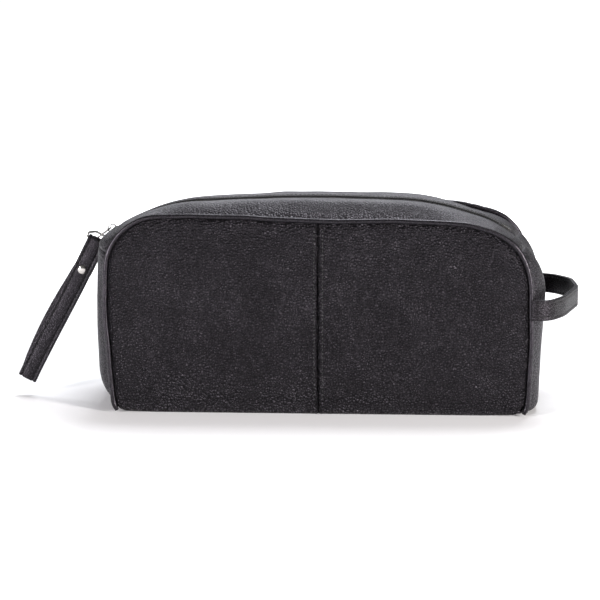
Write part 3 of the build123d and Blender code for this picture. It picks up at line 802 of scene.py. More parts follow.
# ------------------------------------------------------------------ band: gussets, strips, lining
TH_BASE_L, TH_BASE_R = ang(-119.55, 0.0), ang(119.55, 0.0)
TH_END_L = ang(-136.35, 100.3)  # cross seam at the left end of the zip
TH_NOTCH = ang(-136.9, 93.0)
TH_END_R = ang(123.7, 102.2)
TH_COIL_L = ang(RUN_X + 100 * math.cos(math.radians(126.8)), RUN_Z + 100 * math.sin(math.radians(126.8)))
TH_COIL_R = ang(110.6, 110.2)


def seam_groove(th, at, r=110.0, width=1.1, depth=0.55):
    """A sewn cross seam: the leather dips over it."""
    return -depth * np.exp(-(((th - at) * r / width) ** 2))


def even_th(a, b, step):
    """Directions from a to b whose points on the band's middle are evenly spaced."""
    t = np.linspace(a, b, 3000)
    r = r_mid(t)
    p = np.stack([r * np.cos(t), r * np.sin(t)], 1)
    s = np.r_[0, np.cumsum(np.linalg.norm(np.diff(p, axis=0), axis=1))]
    n = max(3, int(s[-1] / step) + 1)
    return np.interp(np.linspace(0, s[-1], n), s, t), s[-1]


def across(a, b):
    """Distances from the middle plane, close together near the seams."""
    m = np.array([0, 3, 5.4, 8, 11, 15, 19, 23, 27, 30, 32.5, 35, 37, 39, 41, 42.7, 44.3, 45.7, 47, 48.2, 49.3, 50.2, BAND_Y])
    m = m[(m > a + 0.4) & (m < b - 0.2)]
    return np.r_[a, m, b]


def gusset(name, a, b, cut, mat, extra=None):
    th, _ = even_th(a, b, 1.6)
    y = across(SLOT_Y, BAND_Y)
    y = np.r_[-y[::-1], -2.0, 2.0, y]
    T, Y = np.meshgrid(th, y, indexing="ij")
    k = 0 * T if extra is None else extra(T, Y)
    P = band(T, Y, k)
    # the lower corners of the band roll under onto the base
    P[..., 2] = np.maximum(P[..., 2], 0.06)
    faces = []
    nv = len(y)
    for i in range(len(th) - 1):
        for j in range(nv - 1):
            if cut is not None and abs((y[j] + y[j + 1]) / 2) < SLOT_Y and cut(th[i], th[i + 1]):
                continue
            faces.append((i * nv + j, i * nv + j + 1, (i + 1) * nv + j + 1, (i + 1) * nv + j))
    o = obj_from(name, P.reshape(-1, 3), faces, mat, merge=0.005)
    bm = bmesh.new()
    bm.from_mesh(o.data)
    loose = [v for v in bm.verts if not v.link_faces]
    bmesh.ops.delete(bm, geom=loose, context="VERTS")
    bm.to_mesh(o.data)
    bm.free()
    outward(o)
    return thicken(o, LEATHER)


left_gusset = gusset(
    "gusset_left", TH_END_L + 0.0008, TH_BASE_L, lambda p, q: min(p, q) < TH_NOTCH, M_BAND,
    lambda T, Y: seam_groove(T, TH_END_L),
)
right_gusset = gusset(
    "gusset_right", TH_BASE_R, TH_END_R - 0.0008, None, M_BAND,
    lambda T, Y: seam_groove(T, TH_END_R, width=1.6, depth=0.9),
)
place(left_gusset, "bag", B_LEATHER, "left_gusset")
place(right_gusset, "bag", B_LEATHER, "right_gusset")


def loop_strip(name, side, a, b, outer, inner, step, mat, extra=None):
    """A closed strip along the band: outer and inner are (y, k) from the seam to the zip and back."""
    th, _ = even_th(a, b, step)
    sec = np.array(outer + inner)
    T, Y = np.meshgrid(th, sec[:, 0] * side, indexing="ij")
    K = np.broadcast_to(sec[:, 1], T.shape).copy()
    if extra is not None:
        K = K + extra(T, Y)
    P = band(T, Y, K)
    return loop_shell(name, P, mat)


def strip_section():
    ys = across(SLOT_Y + 0.9, BAND_Y)[::-1]
    groove = lambda y: -0.13 * math.exp(-(((y - 8.1) / 0.45) ** 2)) + 0.10 * math.exp(-(((y - 6.9) / 0.7) ** 2))
    extra_y = [9.2, 8.6, 8.1, 7.6, 7.0]
    ys = np.array(sorted(set([*ys, *extra_y]), reverse=True))
    dip = lambda y: -0.95 * math.exp(-max(0.0, y - SLOT_Y) / 3.2)
    outer = [(float(y), groove(float(y)) + dip(float(y))) for y in ys]
    fold = [(SLOT_Y + 0.45, -0.88), (SLOT_Y + 0.12, -1.0), (SLOT_Y, -1.16), (SLOT_Y + 0.1, -1.3), (SLOT_Y + 0.5, -1.4)]
    inner = [(SLOT_Y + 1.2, -LEATHER)] + [(float(y), -LEATHER) for y in across(8, BAND_Y - 0.5)]
    return outer, fold + inner


strip_ends = lambda T, Y: seam_groove(T, TH_END_L) + seam_groove(T, TH_END_R, width=1.6, depth=0.9)
s_outer, s_inner = strip_section()
for side, nm in ((-1, "front"), (1, "rear")):
    strip = loop_strip(f"{nm}_zip_strip", side, TH_END_L - 0.0008, TH_END_R + 0.0008, s_outer, s_inner, 1.3, M_BAND, strip_ends)
    bend_lip(strip, f"{nm}_lip", B_LEATHER, f"{nm}_strip_left", f"{nm}_lip", f"{nm}_strip_right")
    # woven tape under the strip
    ty = [14.0, 12.5, 10.5, 8.5, 6.8, 5.6, 4.6, 3.6, 2.4, 1.3, 0.5, 0.16]
    wave = lambda T, Y: 0.05 * waves(T * 110, Y, 31, 9)
    tape = loop_strip(
        f"{nm}_zip_tape", side, TH_COIL_L, TH_END_R + 0.004,
        [(v, -1.46) for v in ty], [(v, -2.12) for v in ty[::-1]], 1.6, M_TAPE, wave,
    )
    bend_lip(tape, f"{nm}_lip", "zip_tape", f"{nm}_tape_left", f"{nm}_tape_mid", f"{nm}_tape_right")
    ly = [float(v) for v in across(5.7, 50.3)[::-1]]
    lining = loop_strip(
        f"{nm}_strip_lining", side, TH_END_L - 0.004, TH_END_R + 0.004,
        [(v, -2.28) for v in ly], [(v, -2.74) for v in ly[::-1]], 2.6, M_LINING,
        lambda T, Y: 0.12 * waves(T * 100, Y, 37, 14) - 0.1,
    )
    bend_lip(lining, f"{nm}_lip", "lining_cloth", f"{nm}_lip_lining")


def inner_sheet(name, a, b, half, k0, k1, mat, step=3.0, notch=None):
    th, _ = even_th(a, b, step)
    y = across(5.7, half)
    y = np.r_[-y[::-1], y]
    T, Y = np.meshgrid(th, y, indexing="ij")
    P = band(T, Y, k0 + 0.12 * waves(T * 100, Y, 41, 18) - 0.1)
    P[..., 2] = np.maximum(P[..., 2], 2.0)
    faces, nv = [], len(y)
    for i in range(len(th) - 1):
        for j in range(nv - 1):
            if notch and abs(y[j] + y[j + 1]) < 2 and notch(th[i], th[i + 1]):
                continue
            faces.append((i * nv + j, i * nv + j + 1, (i + 1) * nv + j + 1, (i + 1) * nv + j))
    o = obj_from(name, P.reshape(-1, 3), faces, mat)
    bm = bmesh.new()
    bm.from_mesh(o.data)
    bmesh.ops.delete(bm, geom=[v for v in bm.verts if not v.link_faces], context="VERTS")
    bm.to_mesh(o.data)
    bm.free()
    outward(o)
    return thicken(o, k0 - k1)


lg = inner_sheet("gusset_lining_left", TH_END_L + 0.002, TH_BASE_L - 0.02, 50.3, -2.28, -2.74, M_LINING, notch=lambda p, q: min(p, q) < ang(-137.2, 90.0))
rg = inner_sheet("gusset_lining_right", TH_BASE_R + 0.02, TH_END_R - 0.002, 50.3, -2.28, -2.74, M_LINING)
place(lg, "bag", "lining_cloth", "left_gusset_lining")
place(rg, "bag", "lining_cloth", "right_gusset_lining")

# patch closing the notch under the slider
th, _ = even_th(ang(-133.5, 105.5), ang(-137.6, 86.5), 0.9)
T, Y = np.meshgrid(th, np.linspace(-7.9, 7.9, 17), indexing="ij")
P = band(T, Y, -3.72 + 0.05 * waves(T * 110, Y, 43, 5) - 0.03)
patch = obj_from("zip_end_cloth", P.reshape(-1, 3), grid_faces(len(th), 17), M_LINING)
outward(patch)
thicken(patch, 0.5)
place(patch, "bag", "lining_cloth", "zip_end_patch")

# ------------------------------------------------------------------ zip coils
def band_line(a, b):
    """Even points along the middle of the band with outward normals and the run along it."""
    th, total = even_th(a, b, 0.25)
    p = band(th, 0 * th)[:, [0, 2]]
    p = resample(p, count=len(p))
    t = np.gradient(p, axis=0)
    t /= np.linalg.norm(t, axis=1, keepdims=True)
    n = np.stack([-t[:, 1], t[:, 0]], 1)
    if (n[len(n) // 2] @ np.array([0, 1])) < 0:
        n = -n
    s = np.r_[0, np.cumsum(np.linalg.norm(np.diff(p, axis=0), axis=1))]
    return p, n, s


zp, zn, zs = band_line(TH_COIL_L, TH_COIL_R)
PITCH = 1.42


def on_zip(s, y, k):
    s = np.asarray(s, float)
    x = np.interp(s, zs, zp[:, 0]) + np.interp(s, zs, zn[:, 0]) * k
    z = np.interp(s, zs, zp[:, 1]) + np.interp(s, zs, zn[:, 1]) * k
    return np.stack([x, y + 0 * s, z], -1)


def coil(name, side, phase):
    turns = int((zs[-1] - 1.0) / PITCH)
    per = 14
    q = np.arange(turns * per + 1) / per
    a = 2 * math.pi * q + phase
    c, s_ = np.cos(a), np.sin(a)
    # squared-off turns: flat legs across the zip, a broad head at the middle
    y = side * (1.42 - 1.30 * np.sign(c) * np.abs(c) ** 0.75)
    k = -0.42 + 0.68 * np.sign(s_) * np.abs(s_) ** 0.8
    s = 0.5 + PITCH * (q + 0.12 * np.sin(a * 2))
    path = on_zip(s, y, k)
    t = np.gradient(path, axis=0)
    t /= np.linalg.norm(t, axis=1, keepdims=True)
    ref = np.stack([np.interp(s, zs, zn[:, 0]), 0 * s, np.interp(s, zs, zn[:, 1])], 1)
    along = np.cross(ref, np.array([0, 1, 0]))
    u = along - t * (along * t).sum(1, keepdims=True)
    u /= np.linalg.norm(u, axis=1, keepdims=True)
    v = np.cross(t, u)
    sec = circle(0.30, 7)
    head = 1 + 0.22 * np.clip(c * 1.0, 0, 1) ** 3
    rings = path[:, None] + sec[None, :, :1] * u[:, None] * head[:, None, None] + sec[None, :, 1:] * v[:, None]
    return loop_shell(name, rings, M_COIL)


for side, nm, ph in ((-1, "front", 0.0), (1, "rear", math.pi)):
    c = coil(f"{nm}_zip_coil", side, ph)
    # the sewing thread that holds the coil to its tape
    n = int((zs[-1] - 2) / 1.5)
    rows = []
    for i in range(n):
        s0 = 1.0 + i * 1.5
        a, b = on_zip([s0, s0 + 0.85], side * (0.9 if side > 0 else 1.2), 0.40)
        up = np.r_[np.interp(s0, zs, zn[:, 0]), 0, np.interp(s0, zs, zn[:, 1])]
        rows.append((a, b, up))
    stitch = capsules(f"{nm}_coil_thread", rows, M_TEETH, 0.17, 5)
    c = join(f"{nm}_zip_coil_row", [c, stitch])
    bend_lip(c, f"{nm}_lip", "zip_coil", f"{nm}_coil_left", f"{nm}_coil_mid", f"{nm}_coil_right")

# stitching along the folded edges of the strips
for side, nm in ((-1, "front"), (1, "rear")):
    p, n, s = band_line(TH_END_L - 0.03, TH_END_R + 0.06)
    rows = []
    for i in range(int(s[-1] / 2.7)):
        s0 = i * 2.7 + 0.4
        q = []
        for ss in (s0, s0 + 2.05):
            x = np.interp(ss, s, p[:, 0]) + np.interp(ss, s, n[:, 0]) * -0.1
            z = np.interp(ss, s, p[:, 1]) + np.interp(ss, s, n[:, 1]) * -0.1
            q.append(np.array([x, side * 8.1, z]))
        # the band is not quite level across, so the stitch is set on it
        for v in q:
            t = ang(v[0], v[2])
            w = band(np.array([t]), np.array([side * 8.1]), -0.12)[0]
            v[:] = w
        rows.append((q[0], q[1], [np.interp(s0, s, n[:, 0]), 0, np.interp(s0, s, n[:, 1])]))
    st = capsules(f"{nm}_strip_stitches", rows, M_THREAD, 0.24)
    bend_lip(st, f"{nm}_lip", B_LEATHER)

# the bottom stop keeps its CAD shape
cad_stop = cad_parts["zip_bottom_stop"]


# ------------------------------------------------------------------ piping
def smooth_line(p, times=2, w=9):
    for _ in range(times):
        k = np.hanning(w + 2)[1:-1]
        k /= k.sum()
        h = w // 2
        q = np.stack([np.convolve(np.r_[[p[0, c]] * h, p[:, c], [p[-1, c]] * h], k, "valid") for c in range(p.shape[1])], 1)
        q[0], q[-1] = p[0], p[-1]
        p = q
    return p


bead_xz = smooth_line(rounded_line(BEAD, closed=False, step=1.0))
for side, nm in ((-1, "front"), (1, "rear")):
    n = len(bead_xz)
    s = np.arange(n) * 1.0
    # softly uneven line and thickness, and one overlap where the piping's ends meet
    wob = 0.16 * waves(s, 0 * s, 51 + side, 34)
    t = np.gradient(bead_xz, axis=0)
    t /= np.linalg.norm(t, axis=1, keepdims=True)
    nrm = np.stack([-t[:, 1], t[:, 0]], 1)
    fade = np.clip(np.minimum(s, s[-1] - s) / 15, 0, 1)
    line = bead_xz + nrm * (wob * fade)[:, None]
    path = np.stack([line[:, 0], np.full(n, side * BEAD_Y), line[:, 1]], 1)
    path[:, 1] += 0.10 * waves(s, 0 * s, 61 + side, 50) * fade
    joint_x = 10.6
    near = np.where((path[:, 2] > 100), path[:, 0] - joint_x, 1e3)
    extra = 0.22 * np.exp(-((near / 2.2) ** 2)) - 0.5 * np.exp(-(((near - 1.9) / 0.5) ** 2))
    r = BEAD_R * (0.965 + 0.02 * waves(s, 0 * s, 71 + side, 20)) + extra * 0.45
    r[:2] *= 0.8
    r[-2:] *= 0.8
    sec = circle(1.0, 18)
    rings = sweep_rings(path, (0, 1, 0), sec[None] * r[:, None, None])
    bead = loop_shell(f"{nm}_bead", rings, M_PIPING)
    # the sewn flange inside the seam
    inner = path.copy()
    inner[:, [0, 2]] = line - nrm * 0  # placeholder for the direction below
    c0 = np.array([CX, CZ])
    to_mid = (c0 - line) / np.linalg.norm(c0 - line, axis=1, keepdims=True)
    nin = np.where((nrm * to_mid).sum(1, keepdims=True) > 0, nrm, -nrm)
    keep = slice(7, n - 7)
    ringsf = []
    for i in range(*keep.indices(n)):
        a = line[i] + nin[i] * 1.2
        b = line[i] + nin[i] * 5.6
        y0, y1 = side * 50.98, side * 51.5
        ringsf.append([[a[0], y0, a[1]], [b[0], y0, b[1]], [b[0], y1, b[1]], [a[0], y1, a[1]]])
    flange = loop_shell(f"{nm}_flange", np.array(ringsf), M_PIPING)
    pip = join(f"{nm}_piping_welt", [bead, flange])
    place(pip, "bag", B_PIPING, f"{nm}_piping")
    cord = loop_shell(f"{nm}_filler_cord", sweep_rings(path[4:-4], (0, 1, 0), circle(0.8, 10)), M_FILLER)
    place(cord, "bag", "cord_filler", f"{nm}_piping_cord")


# ------------------------------------------------------------------ padding and lining
def xlimits(z, k):
    """Left and right reach of the seam line moved out by k, at a height."""
    o = rounded_line(moved(PANEL, k), step=0.3)
    xs = []
    for zz in np.atleast_1d(z):
        a, b = o[:-1], o[1:]
        hit = (a[:, 1] - zz) * (b[:, 1] - zz) <= 0
        t = (zz - a[hit, 1]) / (b[hit, 1] - a[hit, 1] + 1e-12)
        x = a[hit, 0] + t * (b[hit, 0] - a[hit, 0])
        xs.append((x.min(), x.max()) if len(x) else (np.nan, np.nan))
    return np.array(xs)


def foam_pad(name, side):
    """A foam sheet behind the leather, following its dome, thinner towards its edge."""
    zs_ = np.r_[19.0, 19.5, 20.5, 22, 24, np.arange(28, 100, 5.0), 101, 105, 108, 110.3, 111.8, 112.9, 113.4]
    lim = xlimits(np.clip(zs_, 8.5, 113.4), -6.1)
    t = np.r_[0, 0.004, 0.012, 0.03, 0.06, 0.1, np.linspace(0.15, 0.85, 33), 0.9, 0.94, 0.97, 0.988, 0.996, 1]
    X = lim[:, :1] + (lim[:, 1:] - lim[:, :1]) * t[None]
    Z = np.repeat(zs_[:, None], len(t), 1)
    near = np.minimum(np.minimum(X - lim[:, :1], lim[:, 1:] - X), np.minimum(113.5 - Z, 60)) + 5.0
    outer = DOME_Y - edge_drop(near) - low_drop(Z, near) - LEATHER - 0.45
    rim = np.clip((near - 5.0) / 2.2, 0, 1)
    mid = 52.25 + 0.05
    outer = mid + 0.3 + (outer - mid - 0.3) * (0.25 + 0.75 * np.sqrt(rim)) + 0.06 * waves(X, Z, 81, 12)
    outer = np.maximum(outer, mid + 0.25)
    inner = np.full_like(outer, mid)
    nz, nx = X.shape
    verts = np.vstack([
        np.stack([X, side * outer, Z], -1).reshape(-1, 3), np.stack([X, side * inner, Z], -1).reshape(-1, 3),
    ])
    f = grid_faces(nz, nx) + grid_faces(nz, nx, base=nz * nx, flip=True)
    loop = [(0, j) for j in range(nx)] + [(i, nx - 1) for i in range(1, nz)] + [(nz - 1, j) for j in range(nx - 2, -1, -1)] + [(i, 0) for i in range(nz - 2, 0, -1)]
    ids = [i * nx + j for i, j in loop]
    for a, b in zip(ids, ids[1:] + ids[:1]):
        f.append((a, b, b + nz * nx, a + nz * nx))
    o = obj_from(name, verts, f, M_FOAM)
    fix_normals(o)
    return o


for side, nm in ((-1, "front"), (1, "rear")):
    pad = foam_pad(f"{nm}_foam", side)
    place(pad, "bag", "foam", f"{nm}_padding")

# lining of the wrap: a cradle of cloth, a little loose
sec = []
for z in np.linspace(112.2, 11, 30):
    sec.append((-51.65, z))
for f in np.linspace(0, math.pi / 2, 9)[1:]:
    sec.append((-44.7 - 6.95 * math.cos(f), 10.0 - 6.95 * math.sin(f)))
for y in np.linspace(-44.7, 44.7, 25)[1:]:
    sec.append((y, 3.05))
for f in np.linspace(0, math.pi / 2, 9)[1:]:
    sec.append((44.7 + 6.95 * math.sin(f), 10.0 - 6.95 * math.cos(f)))
for z in np.linspace(11, 112.2, 30):
    sec.append((51.65, z))
sec = np.array(sec)
lim = xlimits(np.clip(sec[:, 1], 9, 112.2), -6.8)
t = np.r_[0, 0.01, 0.03, 0.06, np.linspace(0.1, 0.9, 41), 0.94, 0.97, 0.99, 1]
X = lim[:, :1] + (lim[:, 1:] - lim[:, :1]) * t[None]
Yq, Zq = np.repeat(sec[:, :1], len(t), 1), np.repeat(sec[:, 1:], len(t), 1)
runq = np.r_[0, np.cumsum(np.linalg.norm(np.diff(sec, axis=0), axis=1))][:, None] + 0 * X
inset = 0.15 + 0.28 * (1 + waves(X, runq, 91, 30)) * np.clip(np.minimum(X - lim[:, :1], lim[:, 1:] - X) / 12, 0, 1)
Yc = np.where(np.abs(Yq) > 44.7, Yq - np.sign(Yq) * inset, Yq)
Yc = Yc - np.sign(Yq) * 2.0 * np.clip((26 - Zq) / 12, 0, 1) * np.clip(np.abs(Yq) / 40, 0, 1)
Zc = np.where(Zq < 10, Zq + inset * 0.7, Zq)
cloth = obj_from("body_lining_cloth", np.stack([X, Yc, Zc], -1).reshape(-1, 3), grid_faces(*X.shape), M_LINING)
outward(cloth, (0, 0, 70))
thicken(cloth, 0.45)
place(cloth, "bag", "lining_cloth", "body_lining")

# ------------------------------------------------------------------ slider
MIDA = math.radians((NOSE + BACK) / 2)


def on_run(s, y, k):
    """A point s along the slider from its middle (towards the bag's middle), y across, k above the leather."""
    a = MIDA - np.asarray(s, float) / RUN_R
    r = RUN_R + np.asarray(k, float)
    return np.stack(np.broadcast_arrays(RUN_X + r * np.cos(a), y, RUN_Z + r * np.sin(a)), -1)


def plate(name, half, k0, k1, mat, bevel=0.25):
    """A plate on the slider's arc. half(s) is its half width along its length."""
    s = np.r_[-4.45, -4.40, -4.25, -4.0, np.linspace(-3.6, 3.6, 15), 4.0, 4.25, 4.40, 4.45]
    rings = []
    for v in s:
        e = max(0.0, 1 - ((abs(v) - 4.45 + bevel * 2.2) / (bevel * 2.2)) ** 2) if abs(v) > 4.45 - bevel * 2.2 else 1.0
        b = bevel * (0.35 + 0.65 * math.sqrt(e))
        w = half(v) * (0.90 + 0.10 * math.sqrt(e))
        z0, z1 = k0 + (bevel - b * 1.0) * 0.9, k1 - (bevel - b * 1.0) * 0.9
        sec = []
        for cy, cz, a0 in ((w - b, z1 - b, 0), (-(w - b), z1 - b, 90), (-(w - b), z0 + b, 180), (w - b, z0 + b, 270)):
            for q in (0, 30, 60, 90):
                a = math.radians(a0 + q)
                sec.append((cy + b * math.cos(a), cz + b * math.sin(a)))
        rings.append([on_run(v, y, k) for y, k in sec])
    return loop_shell(name, np.array(rings), mat)


shoulder = lambda s: 4.45 - 0.95 * ramp(s, 1.2, 4.4) - 1.15 * ramp(-s, 0.5, 4.4) * 1.0
parts = [
    plate("s_top", shoulder, 0.62, 1.62, M_NICKEL, 0.34),
    plate("s_low", shoulder, -3.32, -2.55, M_NICKEL, 0.25),
]
for y in (-1, 1):
    rings = []
    for v in np.linspace(-4.0, 1.6, 12):
        w = shoulder(v)
        sec = [(w - 0.02, 1.2), (w - 0.1, -0.85), (w - 0.3, -1.0), (w - 0.55, -0.95), (w - 0.68, -0.7), (w - 0.68, 1.2)]
        rings.append([on_run(v, y * a, b) for a, b in sec])
    parts.append(loop_shell("s_side", np.array(rings), M_NICKEL))
# neck that parts the coils
rings = []
for v, w in ((1.3, 0.12), (1.7, 0.32), (2.4, 0.4), (3.2, 0.42), (3.9, 0.34), (4.25, 0.2)):
    rings.append([on_run(v, a, b) for a, b in ((-w, -2.7), (w, -2.7), (w, 0.9), (-w, 0.9))])
parts.append(loop_shell("s_neck", np.array(rings), M_NICKEL))
slider = join("slider_casting", parts)
place(slider, "slider", "bright_nickel", "slider_body")

# bail: a bowed strip of metal whose feet sink into the top plate
ctrl = np.array([(3.75, 1.45), (3.72, 2.6), (3.45, 3.45), (2.6, 3.95), (1.0, 4.02), (-0.3, 3.95), (-1.05, 3.45), (-1.28, 2.6), (-1.3, 1.45)])
u = np.linspace(0, len(ctrl) - 1, 49)
bs = np.stack([np.interp(u, range(len(ctrl)), ctrl[:, c]) for c in (0, 1)], 1)
bs = smooth_line(bs, 2, 7)
path = np.array([on_run(s_, 0.0, k_) for s_, k_ in bs])
half_w = 1.0 - 0.12 * np.sin(np.linspace(0, math.pi, len(path)))
sec = np.array([(-1, -0.18), (-0.96, -0.27), (-0.86, -0.3), (0.86, -0.3), (0.96, -0.27), (1, -0.18), (1, 0.18), (0.94, 0.27), (0.8, 0.31), (0, 0.34), (-0.8, 0.31), (-0.94, 0.27), (-1, 0.18)])
secs = np.repeat(sec[None], len(path), 0)
secs[:, :, 0] *= half_w[:, None]
bail = loop_shell("bail_bow", sweep_rings(path, (0, 1, 0), secs), M_NICKEL)
place(bail, "slider", "bright_nickel", "slider_bail")

# ------------------------------------------------------------------ puller and ring
lean = math.radians(27.5)
DOWN = np.array([-math.sin(lean), 0, -math.cos(lean)])
BAR = np.array([math.cos(lean), 0, -math.sin(lean)])
RING = np.array([-141.5, 0, 98.2])
PIN = np.array([-133.045, 0, 106.389])
LINK = np.array([-139.976, 0, 101.127])
PULL = (LINK - PIN) / np.linalg.norm(LINK - PIN)
PLEN = np.linalg.norm(LINK - PIN)
Yax = np.array([0, 1.0, 0])


def flat_loop(corners, origin, u, v, step=0.35):
    p = rounded_line(corners, closed=True, step=step)[:-1]
    return np.asarray(origin) + p[:, :1] * u + p[:, 1:] * v


loop = flat_loop([(0, -2.92, 0.9), (0, 2.92, 0.9), (PLEN, 2.92, 1.3), (PLEN, -2.92, 1.3)], PIN, PULL, Yax)
nrm = np.cross(PULL, Yax)
sec = circle(0.55, 12)
# flatter than round, like a stamped and tumbled frame
sec = np.stack([np.sign(sec[:, 0]) * np.abs(sec[:, 0] / 0.55) ** 0.75 * 0.55, np.sign(sec[:, 1]) * np.abs(sec[:, 1] / 0.55) ** 0.75 * 0.56], 1)
puller = loop_shell("puller_frame", sweep_rings(loop, nrm, sec, closed=True), M_NICKEL, closed=True)
place(puller, "puller", "bright_nickel", "puller_tab")

loop = flat_loop([(-7.1, 0, 1.1), (-7.1, 2.5, 1.5), (-3.2, 5.2, 2.6), (3.2, 5.2, 2.6), (7.1, 2.5, 1.5), (7.1, 0, 1.1)], RING, BAR, -DOWN)
ring = loop_shell("d_ring", sweep_rings(loop, Yax, circle(0.75, 14), closed=True), M_NICKEL, closed=True)
place(ring, "ring", "bright_nickel", "strap_ring")


# ------------------------------------------------------------------ wrist strap
def strap_section(half, t, rows=2.2, groove=0.16, crown=0.08):
    """A strap's section: softly rounded edges, a sunk line at each stitch row."""
    g = half - rows
    top = [(-half, 0.0), (-half + 0.05, t * 0.25), (-half + 0.2, t * 0.42), (-half + 0.5, t * 0.5 + 0.03), (-half + 1.1, t * 0.5 + 0.05),
           (-g - 0.45, t * 0.5 + 0.0), (-g - 0.15, t * 0.5 - groove), (-g + 0.15, t * 0.5 - groove), (-g + 0.45, t * 0.5 + 0.0),
           (-g + 1.2, t * 0.5 + crown), (0, t * 0.5 + crown * 1.3)]
    top = top + [(-x, z) for x, z in top[:-1][::-1]]
    low = [(half - 0.05, -t * 0.25), (half - 0.25, -t * 0.44), (half - 0.6, -t * 0.5), (half * 0.4, -t * 0.5), (-half * 0.4, -t * 0.5), (-half + 0.6, -t * 0.5), (-half + 0.25, -t * 0.44), (-half + 0.05, -t * 0.25)]
    return np.array(top + low)


IN_R, S_T, S_L, TAB = 0.9, 1.3, 100.0, 25.0
mid_r = IN_R + S_T / 2
back_h = 0.10
c = []  # (down the strap, towards the front)
for s_ in np.linspace(TAB, 0, 22):
    c.append((s_, -mid_r))
for f in np.linspace(0, math.pi, 13)[1:]:
    c.append((-mid_r * math.sin(f), -mid_r * math.cos(f)))
for s_ in np.linspace(0, S_L - 2.0, 70)[1:]:
    c.append((s_, mid_r))
rr = (mid_r - back_h) / 2
for f in np.linspace(0, math.pi, 11)[1:]:
    c.append((S_L - 2.0 + rr * math.sin(f), mid_r - rr + rr * math.cos(f)))
for s_ in np.linspace(S_L - 2.0, 16.0, 58)[1:]:
    c.append((s_, back_h))
c = np.array(c)
run = np.r_[0, np.cumsum(np.linalg.norm(np.diff(c, axis=0), axis=1))]
front_from, front_to = 22 + 12, 22 + 12 + 69
is_back = np.arange(len(c)) > front_to + 5
# the back layer of the loop bows a little to the left and away from the front one
u = np.clip((S_L - 2.0 - c[:, 0]) / (S_L - 18.0), 0, 1)
bow = np.where(is_back, np.sin(math.pi * u) ** 1.0 * ramp(u, 0, 0.15), 0)
side_shift = -2.3 * bow
depth_shift = np.where(is_back, -0.9 * bow * np.clip(1 - 0 * u, 0, 1), 0)
lie = 0.35 * np.sin(c[:, 0] / S_L * math.pi * 1.6 + 0.5) * np.clip(c[:, 0] / 30, 0, 1)
Fv = np.array([0, -1.0, 0])
path = RING + c[:, :1] * DOWN + c[:, 1:] * Fv + depth_shift[:, None] * Fv
shift = (side_shift + lie)[:, None] * BAR
sec = strap_section(6.0, S_T, groove=0.30, crown=0.20)
path_rings = sweep_rings(path, BAR, sec, shift=shift)
# the section's "up" must look outwards from the fold
up0 = path_rings[60].mean(0) - (path[60] + shift[60])
probe = path_rings[60][10] - (path[60] + shift[60])
if probe @ Fv < 0:
    sec[:, 1] *= -1
    path_rings = sweep_rings(path, BAR, sec, shift=shift)
# narrower, rounded free ends
for e, idx in ((0, range(0, 5)), (1, range(len(c) - 4, len(c)))):
    for i in idx:
        d = (i if e == 0 else len(c) - 1 - i)
        f = (0.80, 0.90, 0.955, 0.985, 0.997)[d]
        m = path[i] + shift[i]
        rel = path_rings[i] - m
        path_rings[i] = m + rel - (1 - f) * (rel @ BAR)[:, None] * BAR
strap = loop_shell("strap_leather", path_rings, M_STRAP)

rows = []
def strap_rows(i0, i1, sign_up, off=2.2, pitch=2.9, long=2.1):
    p = path[i0:i1] + shift[i0:i1]
    s_ = np.r_[0, np.cumsum(np.linalg.norm(np.diff(p, axis=0), axis=1))]
    t = np.gradient(p, axis=0)
    t /= np.linalg.norm(t, axis=1, keepdims=True)
    up = np.cross(BAR, t)
    up *= np.sign((up[len(up) // 2] @ Fv) * sign_up)
    for w in (-(6 - off), 6 - off):
        for k in range(int((s_[-1] - 1) / pitch)):
            a, b = 0.5 + k * pitch, 0.5 + k * pitch + long
            q = [np.array([np.interp(v, s_, p[:, c_]) + np.interp(v, s_, up[:, c_]) * (S_T / 2 - 0.15) for c_ in range(3)]) + BAR * w for v in (a, b)]
            rows.append((q[0], q[1], [np.interp(a, s_, up[:, c_]) for c_ in range(3)]))


strap_rows(front_from + 1, front_to, 1)
strap_rows(front_to + 12, len(c) - 2, -1)
strap_rows(2, 20, -1)
st = capsules("strap_stitches", rows, M_THREAD, 0.22)
strap = join("wrist_strap_leather", [strap, st])
place(strap, "strap", B_STRAP, "wrist_strap")

RIV = RING + DOWN * 20
outer = IN_R + S_T
prof = [(3.0, 0.0), (3.02, 0.12), (2.98, 0.28), (2.80, 0.50), (2.45, 0.74), (1.95, 0.93), (1.35, 1.05), (0.7, 1.11), (0.0, 1.13)]
cap = revolve("rivet_dome", [(0.0, 0.02)] + [(r_, h + 0.02) for r_, h in prof], RIV + Fv * (outer + 0.02), Fv, M_RIVET, 48)
fix_normals(cap)
place(cap, "strap", "rivet_nickel", "rivet_cap")
prof = [(0.0, 0.0), (1.2, 0.0), (1.2, 2 * outer), (2.72, 2 * outer + 0.0), (2.76, 2 * outer + 0.12), (2.7, 2 * outer + 0.4), (2.45, 2 * outer + 0.58), (1.5, 2 * outer + 0.62), (1.3, 2 * outer + 0.5), (1.05, 2 * outer + 0.34), (0.0, 2 * outer + 0.3)]
post = revolve("rivet_stem", prof, RIV + Fv * outer, -Fv, M_RIVET, 40)
fix_normals(post)
place(post, "strap", "rivet_nickel", "rivet_post")

